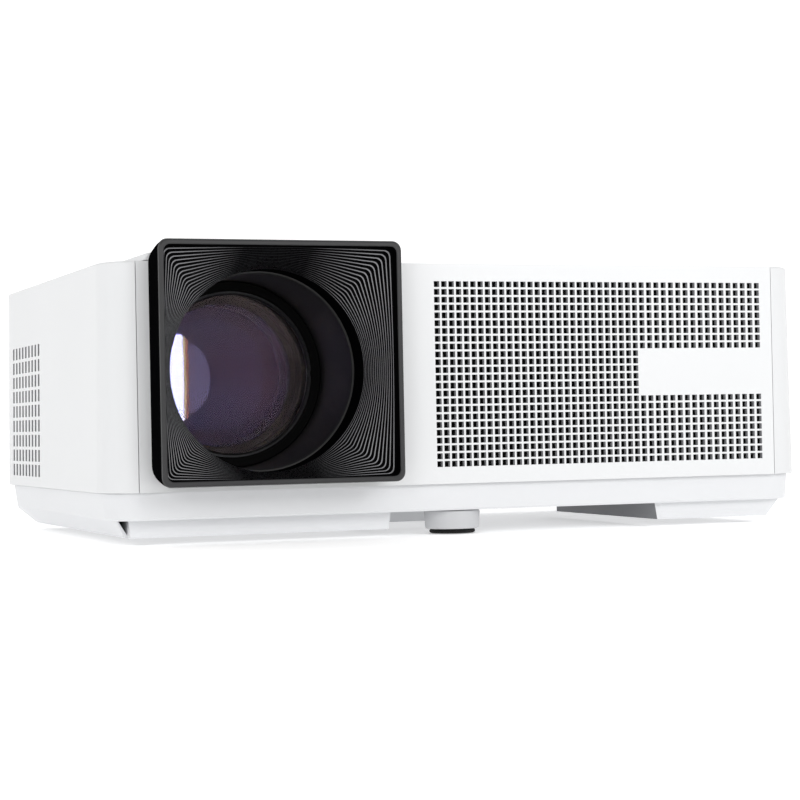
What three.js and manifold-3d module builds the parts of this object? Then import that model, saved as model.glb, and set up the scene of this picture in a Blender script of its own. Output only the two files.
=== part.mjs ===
// Home projector: a wide, low casing with a square lens hood at the left of its front and a
// perforated panel on the right. Millimetres, +Z up, the lens looks along -Y.
// Origin: the middle of the bounding box's floor.
import * as THREE from 'three';
import { mergeVertices } from 'three/addons/utils/BufferGeometryUtils.js';
import Module from 'manifold-3d';

const wasm = await Module();
wasm.setup();

// ---- driving dimensions ----
const GAP = 0.3; // running and fitting gap between separate pieces
const WALL = 2.5; // moulded wall thickness
const BODY_WIDTH = 320;
const BODY_DEPTH = 210; // front panel to back
const HOOD_REACH = 17.6; // how far the hood stands out of the front panel
const FRONT_Y = HOOD_REACH - (BODY_DEPTH + HOOD_REACH) / 2;
const REAR_Y = FRONT_Y + BODY_DEPTH;
const PLINTH_Z = 2.7; // underside of the plinths, on the height of the rubber pads
const TUB_Z = PLINTH_Z + 7.4; // underside of the base tub
const SPLIT_Z = PLINTH_Z + 18.7; // lower edge of the upper casing
const TOP_Z = PLINTH_Z + 111.6;
const HALF_WIDTH = BODY_WIDTH / 2;
const CASING_DRAFT = 1.2; // each side leans in by this much at the top
const FRONT_CORNER = 15.5;
const REAR_CORNER = 4;

const LENS_X = -90;
const LENS_Z = PLINTH_Z + 67.3;
const SEAM_LEFT = -146.2; // seams on both sides of the front panel
const SEAM_RIGHT = 144.3;

const HOOD_HALF_WIDTH = 51.2;
const HOOD_HALF_HEIGHT = 49.2;
const HOOD_Z = PLINTH_Z + 70;
const HOOD_CORNER = 3.5;
const HOOD_RIM = 2.5;
const FUNNEL_END_Y = FRONT_Y + 4.5;
const FUNNEL_END_RADIUS = 41.7;
const FUNNEL_EASE = 1.35; // above 1, the funnel starts flat at the rim and ends steep
const SHOULDER_RADIUS = 47.5; // the hood's round shoulder, just behind the front panel
const SHOULDER_Y = FRONT_Y + 4.8;
const SHOULDER_FLAT_Z = PLINTH_Z + 21.3; // its underside is flat, so the hood hides it
const SLEEVE_RADIUS = 40.8; // bore of the lens sleeve
const SLEEVE_FRONT_Y = FRONT_Y + 17;
const BARREL_FRONT_Y = FRONT_Y + 57;

const COWL_TOP_Z = TOP_Z + 3.3;
const COWL_REAR_Y = 20;
const COWL_HALF_WIDTH = 51.8;

const FOCUS_RING = { inner: 43.4, outer: 49.5, y0: -20, y1: -6, ribs: 44 };
const FOCUS_WINDOW = { halfWidth: 23, y0: -22, y1: -4 };

// The lens tube bolts to the light box, whose long way runs across the casing.
const LIGHT_BOX = { x0: -134, x1: 62, y0: 12, y1: 106, z0: 38, z1: 104 };
const LIGHT_Y = (LIGHT_BOX.y0 + LIGHT_BOX.y1) / 2;

// Perforated front panel: hole rows and columns. The right section is slightly more open.
const HOLE = 2.35;
const ROWS = 24;
const ROW_PITCH = 3.295;
const FIRST_ROW_Z = PLINTH_Z + 104.1;
const LEFT_SECTION = { x: -18, columns: 29, pitch: 3.315 };
const RIGHT_SECTION = { x: 78.3, columns: 17, pitch: 3.592 };
const PLATE_ROWS = [9, 14]; // the blank plate takes these rows of the right section

// Slotted vents in the side walls
const VENT = { y0: 33, y1: 101, z0: 25.5, z1: 87.5, columns: 9, slot: 3.6, bands: 2 };

const SCREWS = [
  ['front_left', -140, -75, PLINTH_Z],
  ['front_right', 138, -78, PLINTH_Z],
  ['rear_left', -140, 100, PLINTH_Z],
  ['rear_right', 146, 101, TUB_Z],
];
const POST_RADIUS = 4;
const SCREW_RADIUS = 1.45;
const SCREW_HEAD_RADIUS = 2.9;

const FOOT = { x: -5, y: FRONT_Y + 17, radius: 12, padRadius: 9.85, rodRadius: 3.8 };
const REAR_PADS = { left: [-100, 88], right: [137, 86] };

// Keys on the top: [name, x, y, radius]
const KEYS = [
  ['ok', 75, -20, 8],
  ['up', 75, -3, 5.5],
  ['down', 75, -37, 5.5],
  ['left', 58, -20, 5.5],
  ['right', 92, -20, 5.5],
  ['power', 114, -20, 6.5],
  ['source', 36, -20, 6.5],
];
const KEY_PROUD = 0.8;

const MAIN_BOARD = { x0: -112, x1: 48, y0: 20, y1: 107, z0: 24, z1: 25.6 };
const SUPPLY_BOARD = { x0: 20, x1: 145, y0: -60, y1: 5, z0: 20, z1: 21.6 };
const SOCKET_FACE_Y = REAR_Y - 0.8;
const REAR_PANEL = { halfWidth: 140, top: 100, y0: REAR_Y - 3.3, y1: REAR_Y - 0.8 };

// Sockets on the main board: [name, middle x, width, height, shell wall, tongue thickness]
const SOCKETS = [
  ['hdmi_socket_1', -66, 15, 6.2, 0.5, 1.4],
  ['hdmi_socket_2', -42, 15, 6.2, 0.5, 1.4],
  ['usb_socket_1', -18, 14.4, 7, 0.5, 2],
  ['usb_socket_2', 4, 14.4, 7, 0.5, 2],
];
const SOCKET_DEPTH = 14;
const JACKS = [
  ['av_jack', 22],
  ['headphone_jack', 36],
];
const JACK = { radius: 3.6, bore: 1.85, z: 30.5, halfBox: 4.5, depth: 12 };
const VGA = { x: -92, halfWidth: 15.4, z0: 26, z1: 38.2 - GAP, depth: 10 };
const INLET = { x: 124, halfWidth: 11, z: 36, halfHeight: 7.5, y0: 100.5 };

// ---- solids ----
function toSolid(geometry) {
  const bare = geometry.index ? geometry.toNonIndexed() : geometry.clone();
  bare.deleteAttribute('normal');
  bare.deleteAttribute('uv');
  const merged = mergeVertices(bare, 1e-4);
  const vertProperties = new Float32Array(merged.attributes.position.array);
  const triVerts = new Uint32Array(merged.index.array);
  return new wasm.Manifold(new wasm.Mesh({ numProp: 3, vertProperties, triVerts }));
}

function toGeometry(solid) {
  const mesh = solid.getMesh();
  const geometry = new THREE.BufferGeometry();
  geometry.setAttribute('position', new THREE.BufferAttribute(mesh.vertProperties, 3));
  geometry.setIndex(new THREE.BufferAttribute(mesh.triVerts, 1));
  geometry.computeVertexNormals();
  return geometry;
}

const join = (...solids) => solids.reduce((whole, solid) => whole.add(solid));
const cut = (solid, ...tools) => tools.reduce((left, tool) => left.subtract(tool), solid);

function box(x0, x1, y0, y1, z0, z1) {
  const geometry = new THREE.BoxGeometry(x1 - x0, y1 - y0, z1 - z0);
  geometry.translate((x0 + x1) / 2, (y0 + y1) / 2, (z0 + z1) / 2);
  return toSolid(geometry);
}

// A turned solid about the Y axis: profile points [radius, y], from the front, outside first.
function turnedY(profile, segments, x = 0, z = 0) {
  const points = profile.map(([radius, y]) => new THREE.Vector2(radius, y));
  const geometry = new THREE.LatheGeometry(points, segments);
  geometry.translate(x, 0, z);
  return toSolid(geometry);
}

function rod(radius, y0, y1, segments, x = LENS_X, z = LENS_Z) {
  return turnedY([[0, y0], [radius, y0], [radius, y1], [0, y1]], segments, x, z);
}

function tube(inner, outer, y0, y1, segments, x = LENS_X, z = LENS_Z) {
  return turnedY([[inner, y0], [outer, y0], [outer, y1], [inner, y1], [inner, y0]], segments, x, z);
}

// An upright turned solid: profile points [radius, z], from the bottom, outside first.
function turnedZ(profile, segments, x, y) {
  const points = profile.map(([radius, z]) => new THREE.Vector2(radius, z));
  const geometry = new THREE.LatheGeometry(points, segments);
  geometry.rotateX(Math.PI / 2);
  geometry.translate(x, y, 0);
  return toSolid(geometry);
}

function pillar(radius, z0, z1, segments, x, y) {
  return turnedZ([[0, z0], [radius, z0], [radius, z1], [0, z1]], segments, x, y);
}

// A solid turned about an axis along X.
function turnedX(profile, segments, y, z) {
  const points = profile.map(([radius, x]) => new THREE.Vector2(radius, x));
  const geometry = new THREE.LatheGeometry(points, segments);
  geometry.rotateZ(-Math.PI / 2);
  geometry.translate(0, y, z);
  return toSolid(geometry);
}

// An outline that is flat in Z or in Y, drawn in its own plane
function flatOutline(outline) {
  const flatInZ = outline.every((p) => Math.abs(p.z - outline[0].z) < 1e-6);
  return outline.map((p) => (flatInZ ? new THREE.Vector2(p.x, p.y) : new THREE.Vector2(p.x, -p.z)));
}

// Skins a stack of outlines that all have the same number of points, in the order of rising Z or Y.
function loft(sections) {
  if (THREE.ShapeUtils.isClockWise(flatOutline(sections[0]))) {
    return loft(sections.map((outline) => [...outline].reverse()));
  }
  const count = sections[0].length;
  const positions = sections.flat().flatMap((p) => [p.x, p.y, p.z]);
  const index = [];
  for (let s = 0; s < sections.length - 1; s += 1) {
    for (let i = 0; i < count; i += 1) {
      const a = s * count + i;
      const b = s * count + ((i + 1) % count);
      index.push(a, b, b + count, a, b + count, a + count);
    }
  }
  const last = (sections.length - 1) * count;
  for (const [a, b, c] of THREE.ShapeUtils.triangulateShape(flatOutline(sections[0]), [])) {
    index.push(a, c, b);
  }
  for (const [a, b, c] of THREE.ShapeUtils.triangulateShape(flatOutline(sections.at(-1)), [])) {
    index.push(last + a, last + b, last + c);
  }
  const geometry = new THREE.BufferGeometry();
  geometry.setAttribute('position', new THREE.Float32BufferAttribute(positions, 3));
  geometry.setIndex(index);
  return toSolid(geometry);
}

const atZ = (outline, z) => outline.map(([x, y]) => new THREE.Vector3(x, y, z));
const atY = (outline, y) => outline.map(([x, z]) => new THREE.Vector3(x, y, z));

// Anticlockwise outline of a rectangle, with one corner radius at the low side, one at the high.
function roundedRectangle(x0, x1, y0, y1, lowRadius, highRadius, steps = 5) {
  const corners = [
    [x1 - lowRadius, y0 + lowRadius, lowRadius, -90],
    [x1 - highRadius, y1 - highRadius, highRadius, 0],
    [x0 + highRadius, y1 - highRadius, highRadius, 90],
    [x0 + lowRadius, y0 + lowRadius, lowRadius, 180],
  ];
  const points = [];
  for (const [cx, cy, radius, start] of corners) {
    for (let i = 0; i <= steps; i += 1) {
      const angle = THREE.MathUtils.degToRad(start + (90 * i) / steps);
      points.push([cx + radius * Math.cos(angle), cy + radius * Math.sin(angle)]);
    }
  }
  return points;
}

// ---- the scene graph ----
const projector = new THREE.Group();

function add(name, solid, colour, roughness = 0.5, metalness = 0) {
  const material = new THREE.MeshStandardMaterial({ color: colour, roughness, metalness });
  const mesh = new THREE.Mesh(toGeometry(solid), material);
  mesh.name = name;
  projector.add(mesh);
}

const WHITE = 0xf2f3f4;
const BLACK = 0x121214;
const GREY = 0x8b8d90;
const GLASS = 0xaab4c8;
const STEEL = 0xb9bcc0;
const BOARD = 0x1f5a3a;

// ---- upper casing ----
function casingOutline(inset, lean) {
  const side = HALF_WIDTH - inset - lean;
  const front = Math.max(FRONT_CORNER - inset, 1);
  const rear = Math.max(REAR_CORNER - inset, 1);
  return roundedRectangle(-side, side, FRONT_Y + inset, REAR_Y - inset, front, rear);
}

function casingShell() {
  const outer = loft([
    atZ(casingOutline(0, 0), SPLIT_Z),
    atZ(casingOutline(0, CASING_DRAFT), TOP_Z - 1),
    atZ(casingOutline(0.8, CASING_DRAFT), TOP_Z),
  ]);
  const cavity = loft([
    atZ(casingOutline(WALL, 0), SPLIT_Z - 1),
    atZ(casingOutline(WALL, CASING_DRAFT), TOP_Z - WALL),
  ]);
  return cut(outer, cavity);
}

// The raised cowl over the lens tube, with a ridge that flares up behind the hood
function cowl() {
  const x0 = LENS_X - COWL_HALF_WIDTH;
  const x1 = LENS_X + COWL_HALF_WIDTH;
  const skirt = roundedRectangle(x0 - 1.5, x1 + 1.5, FRONT_Y, COWL_REAR_Y + 8, 1, 6, 3);
  const crown = roundedRectangle(x0, x1, FRONT_Y, COWL_REAR_Y, 1, 6, 3);
  const raised = loft([atZ(skirt, TOP_Z - 1), atZ(crown, COWL_TOP_Z)]);
  const ridgeAt = (height, y) => atY([
    [x0 + 0.5, COWL_TOP_Z - 1], [x1 - 0.5, COWL_TOP_Z - 1],
    [x1 - 1.5, COWL_TOP_Z + height], [x0 + 1.5, COWL_TOP_Z + height],
  ], y);
  const ridge = loft([ridgeAt(3, FRONT_Y), ridgeAt(1.2, FRONT_Y + 2.5), ridgeAt(0.2, FRONT_Y + 6)]);
  return join(raised, ridge);
}

function cowlHollow() {
  const half = COWL_HALF_WIDTH - WALL;
  return box(LENS_X - half, LENS_X + half, FRONT_Y + 2.8, COWL_REAR_Y - WALL, TOP_Z - 4, COWL_TOP_Z - WALL);
}

function ventSlots(side) {
  const pitch = (VENT.y1 - VENT.y0) / VENT.columns;
  const bandHeight = (VENT.z1 - VENT.z0) / VENT.bands;
  const inner = HALF_WIDTH - 6;
  const outer = HALF_WIDTH + 1;
  const slots = [];
  for (let column = 0; column < VENT.columns; column += 1) {
    const y = VENT.y0 + pitch * (column + 0.5);
    for (let band = 0; band < VENT.bands; band += 1) {
      const z = VENT.z0 + bandHeight * band;
      const x0 = side < 0 ? -outer : inner;
      const x1 = side < 0 ? -inner : outer;
      slots.push(box(x0, x1, y - VENT.slot / 2, y + VENT.slot / 2, z + 0.6, z + bandHeight - 0.6));
    }
  }
  return slots;
}

function casingPost([, x, y]) {
  return pillar(POST_RADIUS, TUB_Z + WALL + 1, TOP_Z - 1, 12, x, y);
}

function screwBore([, x, y]) {
  return pillar(SCREW_RADIUS + GAP, TUB_Z, TUB_Z + 20, 10, x, y);
}

// The hood's shoulder, or the room for it in the pieces that it passes
function hoodShoulder(clearance, y1) {
  const round = rod(SHOULDER_RADIUS + clearance, FRONT_Y - 1, y1, 40);
  const flat = box(LENS_X - 60, LENS_X + 60, FRONT_Y - 2, y1 + 1, 0, SHOULDER_FLAT_Z - clearance);
  return cut(round, flat);
}

function shoulderRoom() {
  return hoodShoulder(0.4, SHOULDER_Y + GAP);
}

function topCover() {
  const solid = join(casingShell(), cowl(), ...SCREWS.map(casingPost));
  const frontOpening = box(SEAM_LEFT - GAP / 2, SEAM_RIGHT + GAP / 2, FRONT_Y - 1, FRONT_Y + 2.8, 0, TOP_Z + GAP);
  const rearOpening = box(
    -REAR_PANEL.halfWidth, REAR_PANEL.halfWidth, REAR_Y - WALL - 1, REAR_Y + 1, 0, REAR_PANEL.top);
  const window = box(
    LENS_X - FOCUS_WINDOW.halfWidth, LENS_X + FOCUS_WINDOW.halfWidth,
    FOCUS_WINDOW.y0, FOCUS_WINDOW.y1, TOP_Z - 5, TOP_Z + 9);
  const keyHoles = KEYS.map(([, x, y, radius]) => pillar(radius + 0.4, TOP_Z - 4, TOP_Z + 1, 20, x, y));
  return cut(
    solid, frontOpening, rearOpening, cowlHollow(), window, shoulderRoom(), ...keyHoles,
    ...ventSlots(-1), ...ventSlots(1), ...SCREWS.map(screwBore));
}

// ---- base tub with its plinths ----
const TUB_TOP_Z = SPLIT_Z - GAP;
const TUB_FLOOR_Z = TUB_Z + WALL;

function leftPlinth() {
  const outline = [
    [-148, FRONT_Y + 12], [-34.7, FRONT_Y + 12], [-34.7, FRONT_Y + 72], [24, FRONT_Y + 72],
    [24, 108], [-148, 108],
  ];
  const block = loft([atZ(outline, PLINTH_Z), atZ(outline, TUB_Z + 1)]);
  const slope = [[-148.5, PLINTH_Z], [-147, PLINTH_Z], [-147, TUB_Z + 1], [-156.2, TUB_Z + 0.6], [-156.2, TUB_Z]];
  const ramp = loft([atY(slope, FRONT_Y + 21), atY(slope, 107)]);
  return join(block, ramp);
}

function rightPlinth() {
  const front = FRONT_Y + 8;
  const rear = FRONT_Y + 120.7;
  const foot = [[87.8, front], [144.2, front], [146, front + 8], [146, rear], [92.9, rear]];
  const head = [[87.8, front], [151, front], [153.5, front + 8], [153.5, rear], [92.9, rear]];
  return loft([atZ(foot, PLINTH_Z), atZ(head, TUB_Z + 0.5)]);
}

function tubShell() {
  const low = roundedRectangle(-156.7, 156.7, FRONT_Y + 3, REAR_Y - 4.3, 13, 3);
  const high = roundedRectangle(-158, 158, FRONT_Y + 3, REAR_Y - 3.5, 13.6, 3);
  const lip = roundedRectangle(-157, 157, FRONT_Y + 3, REAR_Y - 3.8, 12.6, 1.5);
  const hollow = roundedRectangle(-154.2, 154.2, FRONT_Y + 5.5, REAR_Y - 6.3, 10, 1.5);
  const outer = loft([atZ(low, TUB_Z), atZ(high, TUB_TOP_Z)]);
  const lipRing = loft([atZ(lip, TUB_TOP_Z - 1), atZ(lip, SPLIT_Z + 4.6)]);
  return { outer: join(outer, lipRing), hollow: loft([atZ(hollow, TUB_FLOOR_Z), atZ(hollow, SPLIT_Z + 6)]) };
}

function plinthPockets() {
  const low = PLINTH_Z + WALL;
  const high = TUB_FLOOR_Z + 0.1;
  return [
    box(-144, -37.5, FRONT_Y + 15, 101, low, high),
    box(-38, 21, FRONT_Y + 75, 101, low, high),
    box(96, 142, FRONT_Y + 11, FRONT_Y + 117, low, high),
    box(129, 145, 77, 95, low, high),
  ];
}

// Upright posts under the light box and the boards: [x, y, half width, top]
function standPosts() {
  const { x0, x1, y0, y1, z0 } = LIGHT_BOX;
  const boxTop = z0 - GAP;
  const mainTop = MAIN_BOARD.z0 - GAP;
  const supplyTop = SUPPLY_BOARD.z0 - GAP;
  const posts = [
    [x0 + 6, y0 + 6, 4, boxTop], [x0 + 6, y1 - 6, 4, boxTop],
    [x1 - 6, y0 + 6, 4, boxTop], [x1 - 6, y1 - 6, 4, boxTop],
    [-106, 26, 3, mainTop], [-106, 92, 3, mainTop], [42, 26, 3, mainTop], [42, 92, 3, mainTop],
    [26, -54, 3, supplyTop], [139, -54, 3, supplyTop], [26, -1, 3, supplyTop], [139, -1, 3, supplyTop],
  ];
  return posts.map(([x, y, half, top]) => {
    const overPlinth = x < -40 || x > 95;
    const low = overPlinth ? PLINTH_Z + 1 : TUB_Z + 1;
    return box(x - half, x + half, y - half, y + half, low, top);
  });
}

function baseTub() {
  const { outer, hollow } = tubShell();
  const rearBoss = box(126, 148, 74, 98, PLINTH_Z, TUB_Z + 0.5);
  const shell = cut(join(outer, leftPlinth(), rightPlinth(), rearBoss), hollow, ...plinthPockets());
  const screwPillars = SCREWS.map(([, x, y, low]) => pillar(6, low, TUB_FLOOR_Z + 0.5, 12, x, y));
  const bores = SCREWS.map(([, x, y]) => pillar(SCREW_RADIUS + GAP, 0, 20, 10, x, y));
  const headRecesses = SCREWS.map(([, x, y, low]) => pillar(SCREW_HEAD_RADIUS + GAP, low - 1, TUB_Z + 1, 12, x, y));
  const footHole = pillar(FOOT.rodRadius + 0.4, TUB_Z - 1, TUB_FLOOR_Z + 1, 16, FOOT.x, FOOT.y);
  const socketGap = box(MAIN_BOARD.x0, 142, REAR_Y - 7, REAR_Y, TUB_TOP_Z, SPLIT_Z + 6);
  return cut(
    join(shell, ...screwPillars, ...standPosts()),
    ...bores, ...headRecesses, footHole, socketGap, shoulderRoom());
}

// ---- front panel and what stands in it ----
function rowSlots() {
  const slots = [];
  const addSlot = (section, first, last, z) => {
    const x0 = section.x + first * section.pitch;
    const x1 = section.x + last * section.pitch + HOLE;
    slots.push(box(x0, x1, FRONT_Y - 1, FRONT_Y + WALL + 1, z - HOLE, z));
  };
  for (let row = 0; row < ROWS; row += 1) {
    const z = FIRST_ROW_Z - row * ROW_PITCH;
    addSlot(LEFT_SECTION, 0, 13, z);
    addSlot(LEFT_SECTION, 14, LEFT_SECTION.columns - 1, z);
    if (row < PLATE_ROWS[0] || row > PLATE_ROWS[1]) {
      addSlot(RIGHT_SECTION, 0, RIGHT_SECTION.columns - 1, z);
    }
  }
  return slots;
}

function frontPanel() {
  const plate = box(
    SEAM_LEFT + GAP / 2, SEAM_RIGHT - GAP / 2, FRONT_Y, FRONT_Y + WALL, SPLIT_Z, TOP_Z);
  const lensHole = hoodShoulder(0.4, FRONT_Y + WALL + 1);
  const topNotch = box(LENS_X - 22, LENS_X + 22, FRONT_Y - 1, FRONT_Y + WALL + 1, LENS_Z + 20, TOP_Z + 1);
  return cut(plate, lensHole, topNotch, ...rowSlots());
}

// Distance from the middle of a rounded rectangle to its edge, along an angle
function reach(angle, halfWidth, halfHeight) {
  const power = 22;
  const across = Math.abs(Math.cos(angle) / halfWidth) ** power;
  const up = Math.abs(Math.sin(angle) / halfHeight) ** power;
  return (across + up) ** (-1 / power);
}

function funnelSection(share, y) {
  const count = 48;
  const z = THREE.MathUtils.lerp(HOOD_Z, LENS_Z, share);
  const points = [];
  for (let i = 0; i < count; i += 1) {
    const angle = (2 * Math.PI * i) / count;
    const square = reach(angle, HOOD_HALF_WIDTH - HOOD_RIM, HOOD_HALF_HEIGHT - HOOD_RIM);
    const radius = THREE.MathUtils.lerp(square, FUNNEL_END_RADIUS, share);
    points.push([LENS_X + radius * Math.cos(angle), z + radius * Math.sin(angle)]);
  }
  return atY(points, y);
}

function hoodSection(inset, y) {
  const x0 = LENS_X - HOOD_HALF_WIDTH + inset;
  const x1 = LENS_X + HOOD_HALF_WIDTH - inset;
  const z0 = HOOD_Z - HOOD_HALF_HEIGHT + inset;
  const z1 = HOOD_Z + HOOD_HALF_HEIGHT - inset;
  return atY(roundedRectangle(x0, x1, z0, z1, HOOD_CORNER, HOOD_CORNER, 4), y);
}

function lensHood() {
  const rimY = FRONT_Y - HOOD_REACH;
  const frame = loft([hoodSection(0.8, rimY), hoodSection(0, rimY + 0.8), hoodSection(0, FRONT_Y - GAP)]);
  const shoulder = hoodShoulder(0, SHOULDER_Y);
  const spigot = rod(43.7, FRONT_Y - 1, SLEEVE_FRONT_Y - GAP, 40);
  const depth = FUNNEL_END_Y - rimY;
  const steps = [0, 0.3, 0.6, 0.8, 1];
  const funnel = loft([
    funnelSection(0, rimY - 0.5),
    ...steps.map((share) => funnelSection(1 - (1 - share) ** FUNNEL_EASE, rimY + 0.4 + share * (depth - 0.4))),
  ]);
  const bore = rod(FUNNEL_END_RADIUS, FUNNEL_END_Y - 0.1, SLEEVE_FRONT_Y + 1, 40);
  return cut(join(frame, shoulder, spigot), funnel, bore);
}

// ---- projection lens ----
const FLANGE_Y = LIGHT_BOX.y0 - 3;

function lensSleeve() {
  const wall = tube(SLEEVE_RADIUS, 43, SLEEVE_FRONT_Y, FLANGE_Y + 1, 40);
  const flange = box(LENS_X - 44, LENS_X + 44, FLANGE_Y, LIGHT_BOX.y0 - GAP, LIGHT_BOX.z0 + 1, LIGHT_BOX.z1 - 1);
  const opening = rod(SLEEVE_RADIUS - 2, FLANGE_Y - 1, LIGHT_BOX.y0 + 1, 40);
  return cut(join(wall, cut(flange, opening)), rod(SLEEVE_RADIUS, SLEEVE_FRONT_Y - 1, FLANGE_Y + 0.5, 40));
}

const BARREL_REAR_Y = 3;

function lensBarrel() {
  const front = BARREL_FRONT_Y;
  const outer = SLEEVE_RADIUS - 0.4;
  return turnedY([
    [36.3, front], [outer, front], [outer, BARREL_REAR_Y], [27.3, BARREL_REAR_Y], [27.3, -7], [30.3, -7],
    [30.3, -20], [33, -20], [33, front + 8.7], [36.3, front + 8.7], [36.3, front],
  ], 32, LENS_X, LENS_Z);
}

// A round lens element: edge between y0 and y1, faces bulging by the given sags
function lensElement(radius, y0, y1, frontSag, rearSag, segments, steps) {
  const profile = [];
  for (let i = 0; i <= steps; i += 1) {
    const r = (radius * i) / steps;
    profile.push([r, y0 - frontSag * (1 - (r / radius) ** 2)]);
  }
  for (let i = steps; i >= 0; i -= 1) {
    const r = (radius * i) / steps;
    profile.push([r, y1 + rearSag * (1 - (r / radius) ** 2)]);
  }
  return turnedY(profile, segments, LENS_X, LENS_Z);
}

// A thumb ring with straight ribs round its rim
function focusRing() {
  const { inner, outer, y0, y1, ribs } = FOCUS_RING;
  const shape = new THREE.Shape();
  for (let i = 0; i < ribs * 2; i += 1) {
    const angle = (Math.PI * i) / ribs;
    const radius = i % 2 ? outer - 0.9 : outer;
    const x = radius * Math.cos(angle);
    const z = radius * Math.sin(angle);
    if (i === 0) {
      shape.moveTo(x, z);
    } else {
      shape.lineTo(x, z);
    }
  }
  const bore = new THREE.Path();
  bore.absarc(0, 0, inner, 0, 2 * Math.PI, true);
  shape.holes.push(bore);
  const geometry = new THREE.ExtrudeGeometry(shape, { depth: y1 - y0, bevelEnabled: false, curveSegments: 20 });
  geometry.rotateX(Math.PI / 2);
  geometry.translate(LENS_X, y1, LENS_Z);
  return toSolid(geometry);
}

// ---- light engine ----
function lightBox() {
  const { x0, x1, y0, y1, z0, z1 } = LIGHT_BOX;
  const lidSeat = z1 - 2 - GAP;
  const shell = cut(
    box(x0, x1, y0, y1, z0, lidSeat),
    box(x0 + 2, x1 - 2, y0 + 2, y1 - 2, z0 + 2, z1));
  const ribs = [];
  for (const { x, thickness } of Object.values(PLATES)) {
    for (const side of [-1, 1]) {
      const middle = x + side * (thickness / 2 + GAP + 1);
      ribs.push(box(middle - 1, middle + 1, y0 + 1, y0 + 5, z0 + 1, lidSeat));
      ribs.push(box(middle - 1, middle + 1, y1 - 5, y1 - 1, z0 + 1, lidSeat));
    }
  }
  const lensPort = rod(34, y0 - 1, y0 + 3, 32);
  const lampPort = box(x1 - 3, x1 + 1, LIGHT_Y - 26, LIGHT_Y + 26, LENS_Z - 26, LENS_Z + 26);
  return cut(join(shell, ...ribs), lensPort, lampPort);
}

const PLATES = {
  fresnel_front: { x: -38, thickness: 2 },
  lcd_panel: { x: -26, thickness: 3 },
  fresnel_rear: { x: -12, thickness: 2 },
};

function lightBoxLid() {
  const { x0, x1, y0, y1, z1 } = LIGHT_BOX;
  return box(x0, x1, y0, y1, z1 - 2, z1);
}

function opticPlate({ x, thickness }) {
  const { y0, y1, z0, z1 } = LIGHT_BOX;
  return box(x - thickness / 2, x + thickness / 2, y0 + 2 + GAP, y1 - 2 - GAP, z0 + 2 + GAP, z1 - 2.6);
}

function foldMirror() {
  const geometry = new THREE.BoxGeometry(108, 2.4, LIGHT_BOX.z1 - LIGHT_BOX.z0 - 6);
  geometry.rotateZ(Math.PI / 4);
  geometry.translate(LENS_X, LIGHT_Y, (LIGHT_BOX.z0 + LIGHT_BOX.z1) / 2);
  return toSolid(geometry);
}

function condenserLens() {
  const dome = [[0, 20], [14, 22], [23, 26], [26, 31], [26, 34], [0, 34]];
  return turnedX(dome, 28, LIGHT_Y, LENS_Z);
}

function ledModule() {
  const face = LIGHT_BOX.x1 + GAP;
  const plate = box(face, face + 2.4, LIGHT_Y - 32, LIGHT_Y + 32, LENS_Z - 30, LENS_Z + 30);
  const emitter = box(face - 4, face + 1, LIGHT_Y - 14, LIGHT_Y + 14, LENS_Z - 14, LENS_Z + 14);
  return join(plate, emitter);
}

function heatSink() {
  const x0 = LIGHT_BOX.x1 + 3 + GAP;
  const base = box(x0, x0 + 6, LIGHT_Y - 38, LIGHT_Y + 38, LENS_Z - 32, LENS_Z + 32);
  const fins = [];
  for (let i = 0; i < 11; i += 1) {
    const y = LIGHT_Y - 37 + i * 7.2;
    fins.push(box(x0 + 5, x0 + 42, y, y + 2, LENS_Z - 32, LENS_Z + 32));
  }
  return join(base, ...fins);
}

// ---- fans: flat square frames with their axis along X ----
const FANS = {
  intake: { x0: -155, y: 64, z: 57, size: 60, depth: 15, blades: 7 },
  exhaust: { x0: 112, y: LIGHT_Y, z: LENS_Z, size: 80, depth: 15, blades: 7 },
};

function fanFrame({ x0, y, z, size, depth }) {
  const half = size / 2;
  const x1 = x0 + depth;
  const shell = cut(
    box(x0, x1, y - half, y + half, z - half, z + half),
    turnedX([[0, x0 - 1], [half - 1.8, x0 - 1], [half - 1.8, x1 + 1], [0, x1 + 1]], 32, y, z));
  const hub = turnedX([[0, x0], [size * 0.17, x0], [size * 0.17, x0 + 2.5], [0, x0 + 2.5]], 20, y, z);
  const strut = half - 1;
  const upright = box(x0, x0 + 2, y - 1.5, y + 1.5, z - strut, z + strut);
  const level = box(x0, x0 + 2, y - strut, y + strut, z - 1.5, z + 1.5);
  return join(shell, hub, upright, level);
}

function fanRotor({ x0, y, z, size, depth, blades }) {
  const hubRadius = size * 0.17;
  const tip = size / 2 - 3;
  const front = x0 + 2.5 + GAP;
  const rear = x0 + depth - 1;
  const hub = turnedX([[0, front], [hubRadius, front], [hubRadius, rear], [0, rear]], 20, y, z);
  const vanes = [];
  for (let i = 0; i < blades; i += 1) {
    const vane = new THREE.BoxGeometry(1.4, size * 0.16, tip - hubRadius + 2);
    vane.rotateZ(0.9);
    vane.translate(0, 0, (tip + hubRadius - 2) / 2);
    vane.rotateX((2 * Math.PI * i) / blades);
    vane.translate((front + rear) / 2, y, z);
    vanes.push(toSolid(vane));
  }
  return join(hub, ...vanes);
}

// ---- boards and sockets ----
function mainBoard() {
  const { x0, x1, y0, y1, z0, z1 } = MAIN_BOARD;
  const board = box(x0, x1, y0, y1, z0, z1);
  const heatSpreader = box(-60, -20, 40, 75, z1 - 0.5, z1 + 6);
  const memory = box(-8, 12, 50, 62, z1 - 0.5, z1 + 1.5);
  return join(board, heatSpreader, memory);
}

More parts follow.
